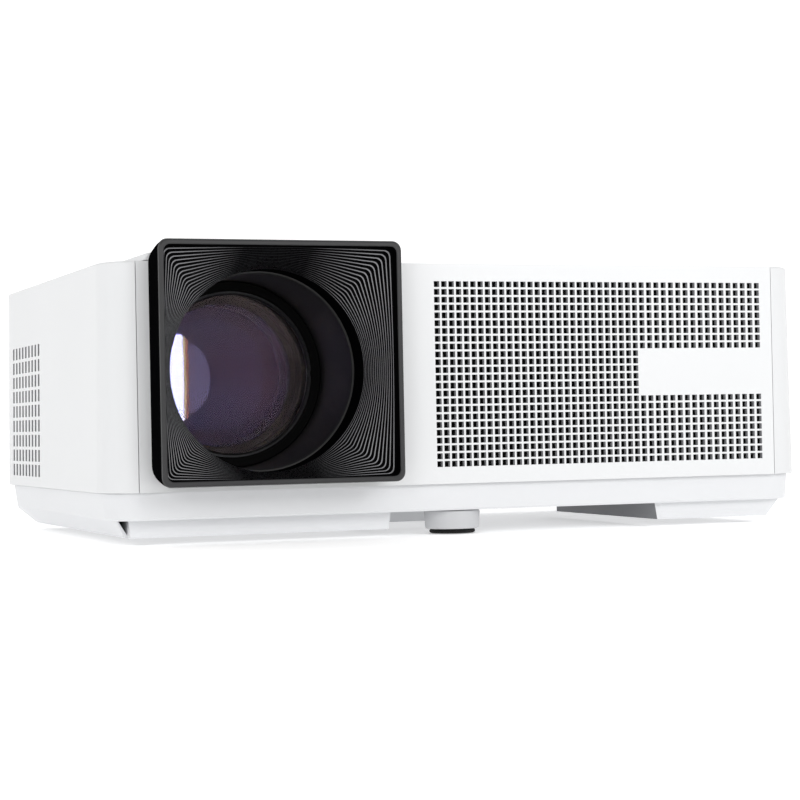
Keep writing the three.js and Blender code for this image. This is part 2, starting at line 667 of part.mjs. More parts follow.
function powerSupplyBoard() {
  const { x0, x1, y0, y1, z0, z1 } = SUPPLY_BOARD;
  const board = box(x0, x1, y0, y1, z0, z1);
  const transformer = box(60, 92, -45, -12, z1 - 0.5, 48);
  const capacitor = pillar(9, z1 - 0.5, 52, 16, 112, -36);
  const filter = box(28, 48, -50, -30, z1 - 0.5, 38);
  return join(board, transformer, capacitor, filter);
}

const SOCKET_Z = MAIN_BOARD.z1 + GAP;

function socket([, x, width, height, wall, tongue]) {
  const half = width / 2;
  const rear = SOCKET_FACE_Y;
  const shell = box(x - half, x + half, rear - SOCKET_DEPTH, rear, SOCKET_Z, SOCKET_Z + height);
  const mouth = box(
    x - half + wall, x + half - wall, rear - SOCKET_DEPTH + 3, rear + 1, SOCKET_Z + wall, SOCKET_Z + height - wall);
  const middle = SOCKET_Z + height / 2;
  const blade = box(x - half + 2, x + half - 2, rear - SOCKET_DEPTH + 1, rear - 2, middle - tongue / 2, middle + tongue / 2);
  return join(cut(shell, mouth), blade);
}

function jack([, x]) {
  const rear = SOCKET_FACE_Y;
  const body = box(x - JACK.halfBox, x + JACK.halfBox, rear - JACK.depth, rear - 3, SOCKET_Z, JACK.z + JACK.halfBox);
  const nose = rod(JACK.radius, rear - 4, rear, 20, x, JACK.z);
  return cut(join(body, nose), rod(JACK.bore, rear - 9, rear + 1, 12, x, JACK.z));
}

function vgaSocket() {
  const { x, halfWidth, z0, z1, depth } = VGA;
  const rear = SOCKET_FACE_Y;
  const flange = box(x - halfWidth, x + halfWidth, rear - depth, rear - 5, z0, z1);
  const middle = (z0 + z1) / 2;
  const shape = [[-8.3, -4], [8.3, -4], [9.2, 4], [-9.2, 4]].map(([dx, dz]) => [x + dx, middle + dz]);
  const inner = [[-7.8, -3.5], [7.8, -3.5], [8.7, 3.5], [-8.7, 3.5]].map(([dx, dz]) => [x + dx, middle + dz]);
  const face = [[-7, -2.6], [7, -2.6], [7.6, 2.6], [-7.6, 2.6]].map(([dx, dz]) => [x + dx, middle + dz]);
  const shell = loft([atY(shape, rear - 6), atY(shape, rear)]);
  const mouth = loft([atY(inner, rear - 4.9), atY(inner, rear + 1)]);
  const insert = loft([atY(face, rear - 6), atY(face, rear - 3.5)]);
  return join(flange, cut(shell, mouth), insert);
}

// Two-pin appliance inlet with its shrouded mouth
function powerInlet() {
  const { x, halfWidth, z, halfHeight, y0 } = INLET;
  const rear = SOCKET_FACE_Y;
  const body = box(x - halfWidth, x + halfWidth, y0, rear, z - halfHeight, z + halfHeight);
  const mouth = roundedRectangle(x - 8.2, x + 8.2, z - 4.4, z + 4.4, 4.2, 4.2, 4);
  const pins = [-4.3, 4.3].map((dx) => rod(1.2, y0 + 1, rear - 2, 10, x + dx, z));
  return join(cut(body, loft([atY(mouth, y0 + 2.5), atY(mouth, rear + 1)])), ...pins);
}

function rearPanel() {
  const { halfWidth, top, y0, y1 } = REAR_PANEL;
  const plate = box(-halfWidth + GAP, halfWidth - GAP, y0, y1, SPLIT_Z + GAP, top - GAP);
  const holes = SOCKETS.map(([, x, width, height]) => box(
    x - width / 2 - GAP, x + width / 2 + GAP, y0 - 1, y1 + 1, SOCKET_Z - GAP, SOCKET_Z + height + GAP));
  for (const [, x] of JACKS) {
    holes.push(rod(JACK.radius + GAP, y0 - 1, y1 + 1, 20, x, JACK.z));
  }
  const vgaMiddle = (VGA.z0 + VGA.z1) / 2;
  holes.push(box(VGA.x - 9.6, VGA.x + 9.6, y0 - 1, y1 + 1, vgaMiddle - 4.4, vgaMiddle + 4.4));
  const { x, z, halfWidth: inletWidth, halfHeight } = INLET;
  holes.push(box(
    x - inletWidth - GAP, x + inletWidth + GAP, y0 - 1, y1 + 1, z - halfHeight - GAP, z + halfHeight + GAP));
  holes.push(box(-20 - GAP, 8 + GAP, y0 - 1, y1 + 1, 60 - GAP, 70 + GAP));
  return cut(plate, ...holes);
}

function receiverWindow() {
  return box(-20, 8, REAR_PANEL.y0, REAR_PANEL.y1, 60, 70);
}

// ---- speakers behind the front panel ----
function speaker(x, z) {
  const front = FRONT_Y + 5;
  return turnedY([
    [0, front + 9], [9, front + 9], [12, front + 10], [24, front + 3], [24, front], [27, front], [27, front + 3],
    [16, front + 15], [16, front + 21], [0, front + 21],
  ], 20, x, z);
}

function dustScreen() {
  return box(-22, 142, FRONT_Y + 3, FRONT_Y + 3.7, 27.2, 109);
}

// ---- feet, keys and screws ----
function footKnob() {
  const { x, y, radius, rodRadius } = FOOT;
  const under = TUB_Z - GAP;
  return turnedZ([
    [0, 1.9], [radius - 1, 1.9], [radius, 2.9], [radius, under], [rodRadius, under], [rodRadius, 34], [0, 34],
  ], 32, x, y);
}

function footNut() {
  const { x, y, rodRadius } = FOOT;
  const nut = pillar(8, TUB_FLOOR_Z + GAP, TUB_FLOOR_Z + 7, 6, x, y);
  return cut(nut, pillar(rodRadius + 0.4, TUB_FLOOR_Z, TUB_FLOOR_Z + 8, 16, x, y));
}

function key([, x, y, radius]) {
  const top = TOP_Z + KEY_PROUD;
  const under = TOP_Z - WALL - GAP;
  return turnedZ([
    [0, 108.3], [radius + 1.6, 108.3], [radius + 1.6, under], [radius, under], [radius, top - 0.5],
    [radius - 0.6, top], [0, top],
  ], 16, x, y);
}

function keypadBoard() {
  const board = box(24, 126, -50, 6, 103, 104.6);
  const switches = KEYS.map(([, x, y]) => box(x - 3, x + 3, y - 3, y + 3, 104, 107));
  return join(board, ...switches);
}

function casingScrew([, x, y]) {
  const head = TUB_Z + 1 - GAP;
  return turnedZ([
    [0, head - 2.2], [SCREW_HEAD_RADIUS, head - 2.2], [SCREW_HEAD_RADIUS, head], [SCREW_RADIUS, head],
    [SCREW_RADIUS, head + 14], [0, head + 14],
  ], 12, x, y);
}

// ---- assembly ----
add('top_cover', topCover(), WHITE, 0.45);
add('base_tub', baseTub(), WHITE, 0.45);
add('front_panel', frontPanel(), WHITE, 0.45);
add('rear_panel', rearPanel(), 0x2a2b2d, 0.5);
add('dust_screen', dustScreen(), 0x3a3b3d, 0.8);
add('lens_hood', lensHood(), BLACK, 0.35);
add('lens_sleeve', lensSleeve(), BLACK, 0.6);
add('lens_barrel', lensBarrel(), BLACK, 0.5);
add('front_lens', lensElement(36, BARREL_FRONT_Y + 2.7, BARREL_FRONT_Y + 8.4, 3.6, 0, 36, 3), GLASS, 0.05);
add('lens_retaining_ring', tube(34.4, 36, BARREL_FRONT_Y + 0.6, BARREL_FRONT_Y + 2.4, 36), GREY, 0.4);
add('second_lens', lensElement(30, -19.7, -14, 0, 4, 20, 2), GLASS, 0.05);
add('rear_lens', lensElement(27, -5, 0, 3, 1, 20, 2), GLASS, 0.05);
add('focus_ring', focusRing(), BLACK, 0.6);
add('light_box', lightBox(), 0x1c1c1e, 0.7);
add('light_box_lid', lightBoxLid(), 0x1c1c1e, 0.7);
for (const [name, plate] of Object.entries(PLATES)) {
  add(name, opticPlate(plate), GLASS, 0.1);
}
add('fold_mirror', foldMirror(), 0xd8dade, 0.05, 0.9);
add('condenser_lens', condenserLens(), GLASS, 0.05);
add('led_module', ledModule(), 0xc08040, 0.4, 0.8);
add('heat_sink', heatSink(), STEEL, 0.4, 0.9);
for (const [name, fan] of Object.entries(FANS)) {
  add(`${name}_fan_frame`, fanFrame(fan), BLACK, 0.6);
  add(`${name}_fan_rotor`, fanRotor(fan), BLACK, 0.6);
}
add('main_board', mainBoard(), BOARD, 0.6);
add('power_supply_board', powerSupplyBoard(), BOARD, 0.6);
add('keypad_board', keypadBoard(), BOARD, 0.6);
for (const entry of SOCKETS) {
  add(entry[0], socket(entry), STEEL, 0.35, 0.9);
}
for (const entry of JACKS) {
  add(entry[0], jack(entry), BLACK, 0.5);
}
add('vga_socket', vgaSocket(), 0x2a4a9a, 0.5);
add('power_inlet', powerInlet(), BLACK, 0.5);
add('ir_window', receiverWindow(), 0x200a10, 0.1);
add('speaker_left', speaker(30, 66), 0x303234, 0.6);
add('speaker_right', speaker(105, 66), 0x303234, 0.6);
add('front_foot_knob', footKnob(), 0xdcdee0, 0.5);
add('front_foot_pad', pillar(FOOT.padRadius, 0, 1.6, 32, FOOT.x, FOOT.y), BLACK, 0.9);
add('foot_nut', footNut(), STEEL, 0.4, 0.9);
for (const [side, [x, y]] of Object.entries(REAR_PADS)) {
  add(`rear_pad_${side}`, pillar(7, 0, PLINTH_Z - GAP, 24, x, y), BLACK, 0.9);
}
for (const entry of KEYS) {
  add(`key_${entry[0]}`, key(entry), 0xe4e6e8, 0.5);
}
for (const entry of SCREWS) {
  add(`screw_${entry[0]}`, casingScrew(entry), STEEL, 0.4, 0.9);
}

export default projector;
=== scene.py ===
# %% [markdown]
# # A home projector, one piece at a time
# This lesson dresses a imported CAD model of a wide, white home projector. The CAD model gives the
# place of every piece, and this script gives the pieces their mouldings, holes and finishes.
# All sizes below are in millimetres, because moulded parts are drawn that way, and one constant
# turns them into Blender's metres.

# %% Load the frame
import math

import bmesh
import bpy
from mathutils import Matrix, Vector


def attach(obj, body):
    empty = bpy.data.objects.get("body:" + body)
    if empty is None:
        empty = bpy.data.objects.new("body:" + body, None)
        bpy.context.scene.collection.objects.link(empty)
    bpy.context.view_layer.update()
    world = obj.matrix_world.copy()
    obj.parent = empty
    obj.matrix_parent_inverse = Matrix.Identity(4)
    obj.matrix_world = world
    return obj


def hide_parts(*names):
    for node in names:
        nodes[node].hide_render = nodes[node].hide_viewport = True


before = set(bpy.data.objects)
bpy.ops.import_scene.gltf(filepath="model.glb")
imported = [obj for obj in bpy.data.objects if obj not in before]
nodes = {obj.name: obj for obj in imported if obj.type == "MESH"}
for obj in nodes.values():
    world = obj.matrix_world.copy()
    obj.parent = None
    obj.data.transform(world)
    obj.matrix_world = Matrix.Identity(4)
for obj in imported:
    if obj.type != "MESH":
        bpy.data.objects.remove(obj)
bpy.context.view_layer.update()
MM = 0.001

# %% [markdown]
# ## Measures shared by the pieces
# The front of the casing is the plane that the perforated panel lies in. The lens axis runs along
# Y through one point of that plane. The rest of the casing hangs on these few numbers.

# %% Shared measures
FRONT = -96.2
REAR = 113.8
TUB_BOTTOM = 10.1
SPLIT = 21.4
TOP = 114.3
HALF_WIDTH = 160.0
WALL = 2.5
GAP = 0.3
LENS_X = -90.0
LENS_Z = 70.0
print("casing is", 2 * HALF_WIDTH, "wide and", REAR - FRONT, "deep")

# %% [markdown]
# ## Meshes from outlines
# Almost every moulding here is a stack of outlines: a casing is one rounded rectangle after
# another, a lens is one circle after another. So one function skins a stack of rings, and small
# functions make the rings. Boxes cut from a moulding are rings too.

# %% Skinning a stack of rings
def piece_from(name, points, faces):
    mesh = bpy.data.meshes.new(name)
    mesh.from_pydata([Vector(point) * MM for point in points], [], faces)
    edit = bmesh.new()
    edit.from_mesh(mesh)
    bmesh.ops.recalc_face_normals(edit, faces=edit.faces)
    edit.to_mesh(mesh)
    edit.free()
    piece = bpy.data.objects.new(name, mesh)
    bpy.context.scene.collection.objects.link(piece)
    return piece


def skin(name, rings, joined=False):
    """Rings have equal numbers of points. joined closes the stack on itself instead of capping it."""
    count = len(rings[0])
    points = [point for ring in rings for point in ring]
    faces = []
    last = len(rings) if joined else len(rings) - 1
    for r in range(last):
        here, there = r * count, ((r + 1) % len(rings)) * count
        for i in range(count):
            j = (i + 1) % count
            faces.append((here + i, here + j, there + j, there + i))
    if not joined:
        faces.append(tuple(range(count)))
        faces.append(tuple(range((len(rings) - 1) * count, len(rings) * count)))
    return piece_from(name, points, faces)


def rounded_outline(x0, x1, y0, y1, low_radius, high_radius, steps=8):
    """A rounded rectangle, with one corner radius on its low side and one on its high side."""
    corners = [
        (x1 - low_radius, y0 + low_radius, low_radius, -90),
        (x1 - high_radius, y1 - high_radius, high_radius, 0),
        (x0 + high_radius, y1 - high_radius, high_radius, 90),
        (x0 + low_radius, y0 + low_radius, low_radius, 180),
    ]
    outline = []
    for cx, cy, radius, start in corners:
        for i in range(steps + 1):
            angle = math.radians(start + 90 * i / steps)
            outline.append((cx + radius * math.cos(angle), cy + radius * math.sin(angle)))
    return outline


def at_height(outline, z):
    return [(x, y, z) for x, y in outline]


def at_depth(outline, y):
    return [(x, y, z) for x, z in outline]


def turned(name, profile, centre, axis="Y", segments=128, joined=False):
    """A profile of (radius, distance along the axis) turned about an axis through centre."""
    rings = []
    for radius, along in profile:
        ring = []
        for i in range(segments):
            angle = 2 * math.pi * i / segments
            a, b = radius * math.cos(angle), radius * math.sin(angle)
            if axis == "Y":
                ring.append((centre[0] + a, along, centre[1] + b))
            else:
                ring.append((centre[0] + a, centre[1] + b, along))
        rings.append(ring)
    return skin(name, rings, joined)


def boxes(name, extents):
    """Many separate boxes in one mesh: each extent is x0, x1, y0, y1, z0, z1."""
    points, faces = [], []
    for x0, x1, y0, y1, z0, z1 in extents:
        base = len(points)
        points += [(x, y, z) for z in (z0, z1) for x, y in ((x0, y0), (x1, y0), (x1, y1), (x0, y1))]
        sides = [(0, 1, 2, 3), (7, 6, 5, 4)]
        sides += [(i, i + 4, (i + 1) % 4 + 4, (i + 1) % 4) for i in range(4)]
        faces += [tuple(base + corner for corner in side) for side in sides]
    return piece_from(name, points, faces)


print("rings, turned pieces and boxes are ready")

# %% [markdown]
# ## Cutting and joining mouldings
# A real mould forms holes with steel cores. Here a core is a closed mesh that a boolean takes away.
# The result is baked into the piece at once, so no modifier is left to go wrong later. A thin bevel
# then breaks the edges, as no moulded edge is perfectly sharp, and it is what catches the light.

# %% Booleans, bevels and shading
def bake_modifiers(piece):
    graph = bpy.context.evaluated_depsgraph_get()
    graph.update()
    mesh = bpy.data.meshes.new_from_object(piece.evaluated_get(graph))
    piece.modifiers.clear()
    piece.data = mesh
    return piece


def combine(piece, others, operation="DIFFERENCE"):
    for other in others:
        step = piece.modifiers.new("core", "BOOLEAN")
        step.object = other
        step.operation = operation
        step.solver = "MANIFOLD"
        bake_modifiers(piece)
        bpy.data.objects.remove(other)
    return piece


def break_edges(piece, width, angle=35, segments=2):
    step = piece.modifiers.new("edge", "BEVEL")
    step.width = width * MM
    step.segments = segments
    step.limit_method = "ANGLE"
    step.angle_limit = math.radians(angle)
    step.use_clamp_overlap = True
    return bake_modifiers(piece)


def shade(piece, angle=32):
    piece.data.shade_smooth()
    piece.data.set_sharp_from_angle(angle=math.radians(angle))
    return piece


def settle_normals(piece):
    """Large flat faces keep their own normal, and the small bevels beside them do the bending."""
    step = piece.modifiers.new("normals", "WEIGHTED_NORMAL")
    step.mode = "FACE_AREA"
    step.weight = 50
    step.keep_sharp = True
    return bake_modifiers(piece)


print("booleans, bevels and shading are ready")

# %% [markdown]
# ## Nodes and colours
# A material is a small net of nodes. One helper adds a node, sets what it needs and links it, so a
# finish reads as a short list. Colours are picked as sRGB hex values and turned to linear once.

# %% One helper for nodes, one for colours
def linear(hex_colour):
    channels = [int(hex_colour[i:i + 2], 16) / 255 for i in (1, 3, 5)]
    return tuple(c / 12.92 if c <= 0.04045 else ((c + 0.055) / 1.055) ** 2.4 for c in channels) + (1.0,)


def add_node(tree, kind, values=None, links=None, **settings):
    made = tree.nodes.new(kind)
    for key, value in settings.items():
        setattr(made, key, value)
    for socket, value in (values or {}).items():
        made.inputs[socket].default_value = value
    for socket, source in (links or {}).items():
        tree.links.new(source, made.inputs[socket])
    return made


# The Mix node keeps its colour sockets at these places, beside those for plain numbers.
MIX_SHARE, COLOUR_A, COLOUR_B, COLOUR_OUT = 0, 6, 7, 2


def new_finish(name):
    material = bpy.data.materials.new(name)
    material.use_nodes = True
    tree = material.node_tree
    shader = tree.nodes["Principled BSDF"]
    place = add_node(tree, "ShaderNodeTexCoord").outputs["Object"]
    return material, tree, shader, place


print("white ABS is", [round(c, 3) for c in linear("#dfe0e1")[:3]], "in linear light")

# %% [markdown]
# ## Moulded plastics
# The casing is injection-moulded ABS. The mould's steel is spark-eroded, which leaves a fine,
# even grain on the plastic: about a third of a millimetre from bump to bump. To the eye it turns a
# mirror-like surface into a soft satin one. Colour varies very slightly over a hand's width, as the
# wall's thickness does. The same recipe, darker or rougher, serves every plastic piece.

# %% A moulded plastic with its spark-eroded grain
def moulded_plastic(name, shade_light, shade_dark, roughness, grain_mm=0.35, grain_depth=0.012, ior=1.54):
    material, tree, shader, place = new_finish(name)
    drift = add_node(tree, "ShaderNodeTexNoise", {"Scale": 1 / (90 * MM), "Detail": 1.0}, {"Vector": place})
    tint = add_node(
        tree, "ShaderNodeMix", {COLOUR_A: linear(shade_light), COLOUR_B: linear(shade_dark)},
        {MIX_SHARE: drift.outputs["Fac"]}, data_type="RGBA")
    tree.links.new(tint.outputs[COLOUR_OUT], shader.inputs["Base Color"])
    grain = add_node(
        tree, "ShaderNodeTexNoise", {"Scale": 1 / (grain_mm * MM), "Detail": 2.0, "Roughness": 0.6},
        {"Vector": place})
    satin = add_node(
        tree, "ShaderNodeMapRange", {"To Min": roughness - 0.04, "To Max": roughness + 0.04},
        {"Value": grain.outputs["Fac"]})
    tree.links.new(satin.outputs["Result"], shader.inputs["Roughness"])
    bump = add_node(
        tree, "ShaderNodeBump", {"Strength": 0.35, "Distance": grain_depth * MM},
        {"Height": grain.outputs["Fac"]})
    tree.links.new(bump.outputs["Normal"], shader.inputs["Normal"])
    shader.inputs["IOR"].default_value = ior
    return material


# White ABS: pale, faintly cool, satin.
WHITE_ABS = moulded_plastic("white_abs", "#dfe0e1", "#dadbdc", 0.42)
# The tub is its own moulding: nearly the same white, a touch rougher.
TUB_ABS = moulded_plastic("tub_abs", "#dfe0e2", "#dbdcde", 0.45)
# The perforated panel comes from its own mould, a touch glossier.
PANEL_ABS = moulded_plastic("panel_abs", "#e2e3e4", "#dedfe0", 0.36)
# Black ABS of the hood. Real plastic keeps a weak mirror share even when matt. It is switched off
# here, because the bright surround would otherwise lift these walls from black to grey.
HOOD_ABS = moulded_plastic("hood_abs", "#070708", "#050506", 0.6, 0.5, 0.008)
HOOD_ABS.node_tree.nodes["Principled BSDF"].inputs["Specular IOR Level"].default_value = 0.0
# The rim's face is the mould's polished side: satin, and it lifts to a mid grey under a soft box.
# Its black is also lighter than the hood's walls: painted sheen on the same plastic.
RIM_SHEEN_ABS = moulded_plastic("hood_rim_painted_sheen", "#1d1d1f", "#19191b", 0.30, 0.5, 0.006)
# The rounded edges of the steps get a pale grey, a painted highlight that shows them as thin pale lines.
STEP_HIGHLIGHT_ABS = moulded_plastic("hood_step_painted_highlight", "#98989b", "#6c6c6f", 0.28, 0.8, 0.004)


def dull_above_and_below(material, middle_x):
    """Darker step edges above and below the lens, where the real ones lie in shade. The pale
    surround here lights them evenly, so the plastic's own tone stands for that shade."""
    tree = material.node_tree
    shader = tree.nodes["Principled BSDF"]
    place = add_node(tree, "ShaderNodeTexCoord").outputs["Object"]
    split = add_node(tree, "ShaderNodeSeparateXYZ", links={"Vector": place})
    away = add_node(
        tree, "ShaderNodeMath", {1: middle_x * MM}, {0: split.outputs["X"]}, operation="SUBTRACT")
    distance = add_node(tree, "ShaderNodeMath", links={0: away.outputs[0]}, operation="ABSOLUTE")
    share = add_node(
        tree, "ShaderNodeMapRange", {"From Min": 14 * MM, "From Max": 40 * MM},
        {"Value": distance.outputs[0]})
    tint = shader.inputs["Base Color"].links[0].from_socket
    mixed = add_node(
        tree, "ShaderNodeMix", {COLOUR_A: linear("#262628")},
        {MIX_SHARE: share.outputs["Result"], COLOUR_B: tint}, data_type="RGBA")
    tree.links.new(mixed.outputs[COLOUR_OUT], shader.inputs["Base Color"])
    shader.inputs["Specular IOR Level"].default_value = 0.2


dull_above_and_below(STEP_HIGHLIGHT_ABS, LENS_X)
# Matt black of the lens tube: a coarse grain that swallows light and only glitters at a glance.
TUBE_BLACK = moulded_plastic("tube_black", "#0a0a0b", "#040405", 0.62, 0.6, 0.12)
# The barrel's face next to the glass is taken as flocked: hardly anything comes back from it.
BARREL_BLACK = moulded_plastic("barrel_flock", "#040405", "#030303", 0.8, 0.6, 0.05)
BARREL_BLACK.node_tree.nodes["Principled BSDF"].inputs["Specular IOR Level"].default_value = 0.1
# The sides of narrow slots see little light. A greyer plastic stands for part of that shade.
SLOT_ABS = moulded_plastic("slot_wall_abs", "#9c9da0", "#8e8f92", 0.6)
# The right plinth's inner flank lies in deep shade. The bright floor here would light it, so a darker
# plastic stands for the shade: it is not another material on the real object.
FLANK_ABS = moulded_plastic("shaded_abs", "#7c7d80", "#737477", 0.6)
# The walls of the panel's small holes are a grey plastic: painted shade, for the little light that reaches
# in.
HOLE_SHADE_ABS = moulded_plastic("hole_wall_painted_shade", "#b4b5b8", "#a8a9ac", 0.6)
# Inner mouldings are plain black polycarbonate with a coarser grain.
INNER_BLACK = moulded_plastic("inner_polycarbonate", "#161617", "#101011", 0.6, 0.5, 0.03, 1.58)
# Dark grey ABS of the rear panel.
REAR_ABS = moulded_plastic("rear_abs", "#2c2d2f", "#252628", 0.5, 0.45, 0.03)
# Light grey ABS of the keys and, a little darker, of the foot.
KEY_ABS = moulded_plastic("key_abs", "#cfd1d3", "#c8cacc", 0.4)
FOOT_ABS = moulded_plastic("foot_abs", "#c6c7c9", "#bebfc1", 0.45)
# Blue insert of the computer socket.
SOCKET_BLUE = moulded_plastic("socket_pbt", "#1d3f8f", "#193a86", 0.45)
# Infrared window: plastic that looks black to the eye and lets remote signals through.
IR_PLASTIC = moulded_plastic("infrared_acrylic", "#14060c", "#10040a", 0.08, 2.0, 0.002, 1.49)
# Silicone rubber pads: matt, with a dusty stipple.
PAD_RUBBER = moulded_plastic("silicone_rubber", "#070707", "#0a0a0a", 0.85, 0.8, 0.08, 1.43)
# Printed ink on the keys.
KEY_INK = moulded_plastic("key_ink", "#55585b", "#4f5255", 0.6, 0.3, 0.004, 1.5)
print("moulded plastics:", len(bpy.data.materials))

# %% [markdown]
# ## Metals
# Sockets are drawn steel with bright nickel plate. Screws are zinc plated. The lens ring is
# aluminium, bead blasted and anodised, so it is matt with a fine sparkle. The heat sink is extruded,
# which leaves lines along it. A metal keeps the default IOR, and its colour is what it reflects.

# %% A metal with a grain or with drawn lines
def plain_metal(name, hex_colour, roughness, grain_mm, line_stretch=(1, 1, 1)):
    material, tree, shader, place = new_finish(name)
    drawn = add_node(tree, "ShaderNodeMapping", {"Scale": line_stretch}, {"Vector": place})
    grain = add_node(
        tree, "ShaderNodeTexNoise", {"Scale": 1 / (grain_mm * MM), "Detail": 2.0},
        {"Vector": drawn.outputs["Vector"]})
    spread = add_node(
        tree, "ShaderNodeMapRange", {"To Min": roughness - 0.08, "To Max": roughness + 0.08},
        {"Value": grain.outputs["Fac"]})
    tree.links.new(spread.outputs["Result"], shader.inputs["Roughness"])
    bump = add_node(
        tree, "ShaderNodeBump", {"Strength": 0.2, "Distance": 0.01 * MM}, {"Height": grain.outputs["Fac"]})
    tree.links.new(bump.outputs["Normal"], shader.inputs["Normal"])
    tint = add_node(
        tree, "ShaderNodeMix", {COLOUR_A: linear(hex_colour), COLOUR_B: linear("#8d8f92")},
        {MIX_SHARE: add_node(tree, "ShaderNodeMath", {1: 0.15}, {0: grain.outputs["Fac"]},
                             operation="MULTIPLY").outputs[0]}, data_type="RGBA")
    tree.links.new(tint.outputs[COLOUR_OUT], shader.inputs["Base Color"])
    shader.inputs["Metallic"].default_value = 1.0
    return material


NICKEL = plain_metal("nickel_plated_steel", "#c8c5bd", 0.22, 1.5)
ZINC = plain_metal("zinc_plated_steel", "#b9bcc0", 0.35, 1.0)
ANODISED = plain_metal("anodised_aluminium", "#252527", 0.42, 0.4)
EXTRUDED = plain_metal("extruded_aluminium", "#c3c6c9", 0.38, 0.8, (0.05, 1, 1))
print("metals are ready")

# %% [markdown]
# ## Glass and optics
# The lenses are optical crown glass, IOR 1.52, polished. Each face has an anti-reflection layer a
# fraction of a wavelength thick, so its weak reflections are purple and blue instead of white. The
# shader's thin film gives just that. The fresnel plates are clear acrylic with fine rings.

# %% Coated glass, acrylic and mirror
def coated_glass(name, film_nm, roughness, level=0.5, reflected="#ffffff"):
    material, tree, shader, place = new_finish(name)
    coat = add_node(tree, "ShaderNodeTexNoise", {"Scale": 1 / (20 * MM), "Detail": 1.0}, {"Vector": place})
    film = add_node(
        tree, "ShaderNodeMapRange", {"To Min": film_nm - 2, "To Max": film_nm + 2},
        {"Value": coat.outputs["Fac"]})
    tree.links.new(film.outputs["Result"], shader.inputs["Thin Film Thickness"])
    shader.inputs["Base Color"].default_value = linear("#ffffff")
    shader.inputs["Roughness"].default_value = roughness
    shader.inputs["Specular IOR Level"].default_value = level
    shader.inputs["Specular Tint"].default_value = linear(reflected)
    shader.inputs["IOR"].default_value = 1.52
    shader.inputs["Transmission Weight"].default_value = 1.0
    shader.inputs["Thin Film IOR"].default_value = 1.38
    return material


# Quarter-wave magnesium fluoride is about 100 nm thick. It cancels green, so purple is left; a
# thicker layer shifts that towards blue and a thinner one towards amber.
FRONT_GLASS = coated_glass("coated_front_glass", 110, 0.0, 0.5, "#ccccf4")
# The last colour tints what a face reflects: bluish in front, violet and brown further in. Real inner
# elements are polished too. Here they get some roughness and dark tints, so that the white surround
# mirrored in them stays as soft and dim as it looks from outside.
SECOND_GLASS = coated_glass("coated_second_glass", 125, 0.14, 0.06, "#86739c")
REAR_GLASS = coated_glass("coated_rear_glass", 85, 0.25, 0.06, "#5c4846")


def ringed_acrylic(name):
    material, tree, shader, place = new_finish(name)
    rings = add_node(
        tree, "ShaderNodeTexWave", {"Scale": 1 / (3 * MM)}, {"Vector": place}, wave_type="RINGS")
    bump = add_node(
        tree, "ShaderNodeBump", {"Strength": 0.3, "Distance": 0.05 * MM}, {"Height": rings.outputs["Fac"]})
    tree.links.new(bump.outputs["Normal"], shader.inputs["Normal"])
    shader.inputs["Base Color"].default_value = linear("#dfe6ea")
    shader.inputs["IOR"].default_value = 1.49
    shader.inputs["Roughness"].default_value = 0.05
    shader.inputs["Transmission Weight"].default_value = 0.9
    return material


ACRYLIC = ringed_acrylic("fresnel_acrylic")
MIRROR = plain_metal("front_silvered_glass", "#e8eaec", 0.1, 4.0)
print("optics are ready")

# %% [markdown]
# ## Circuit board and dust screen
# A circuit board is glass fibre under green solder mask, with copper tracks showing as lighter
# lines: a brick pattern of about 2 mm stands for them. The dust screen is woven polyester: threads
# every half millimetre, drawn at 0.9 mm so that they show.

# %% Board and mesh
def circuit_board(name):
    material, tree, shader, place = new_finish(name)
    tracks = add_node(
        tree, "ShaderNodeTexBrick",
        {"Scale": 1 / (4 * MM), "Mortar Size": 0.06, "Color1": linear("#14402a"),
         "Color2": linear("#174a30"), "Mortar": linear("#2b6a45")}, {"Vector": place})
    tree.links.new(tracks.outputs["Color"], shader.inputs["Base Color"])
    shader.inputs["Roughness"].default_value = 0.35
    return material


def woven_screen(name):
    material, tree, shader, place = new_finish(name)
    across = add_node(
        tree, "ShaderNodeTexWave", {"Scale": 1 / (0.9 * MM) / 3}, {"Vector": place}, bands_direction="X")
    upright = add_node(
        tree, "ShaderNodeTexWave", {"Scale": 1 / (0.9 * MM) / 3}, {"Vector": place}, bands_direction="Z")
    thread = add_node(
        tree, "ShaderNodeMath", links={0: across.outputs["Fac"], 1: upright.outputs["Fac"]},
        operation="MAXIMUM")
    tint = add_node(
        tree, "ShaderNodeMix", {COLOUR_A: linear("#020202"), COLOUR_B: linear("#0c0d0d")},
        {MIX_SHARE: thread.outputs[0]}, data_type="RGBA")
    tree.links.new(tint.outputs[COLOUR_OUT], shader.inputs["Base Color"])
    bump = add_node(
        tree, "ShaderNodeBump", {"Strength": 0.5, "Distance": 0.1 * MM}, {"Height": thread.outputs[0]})
    tree.links.new(bump.outputs["Normal"], shader.inputs["Normal"])
    shader.inputs["Roughness"].default_value = 0.75
    shader.inputs["Specular IOR Level"].default_value = 0.1
    return material


BOARD = circuit_board("solder_masked_board")
SCREEN = woven_screen("woven_polyester")
print("materials:", len(bpy.data.materials))

# %% [markdown]
# ## Handing a piece over
# Every finished piece gets its finish, its body to ride on, and the CAD pieces that it stands for.

# %% Handing over
def hand_over(piece, finish, body, slot, *stands_for):
    piece.data.materials.clear()
    piece.data.materials.append(finish)
    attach(piece, body)
    if stands_for:
        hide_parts(*stands_for)
    print(piece.name, len(piece.data.polygons), "faces")
    return piece


# %% A second finish on some faces
def second_finish(piece, finish, is_chosen):
    """is_chosen gets a face's middle and its normal, in millimetres, and answers yes or no."""
    piece.data.materials.append(finish)
    place = len(piece.data.materials) - 1
    count = 0
    for face in piece.data.polygons:
        if is_chosen(face.center / MM, face.normal):
            face.material_index = place
            count += 1
    print(piece.name, "shows", finish.name, "on", count, "faces")


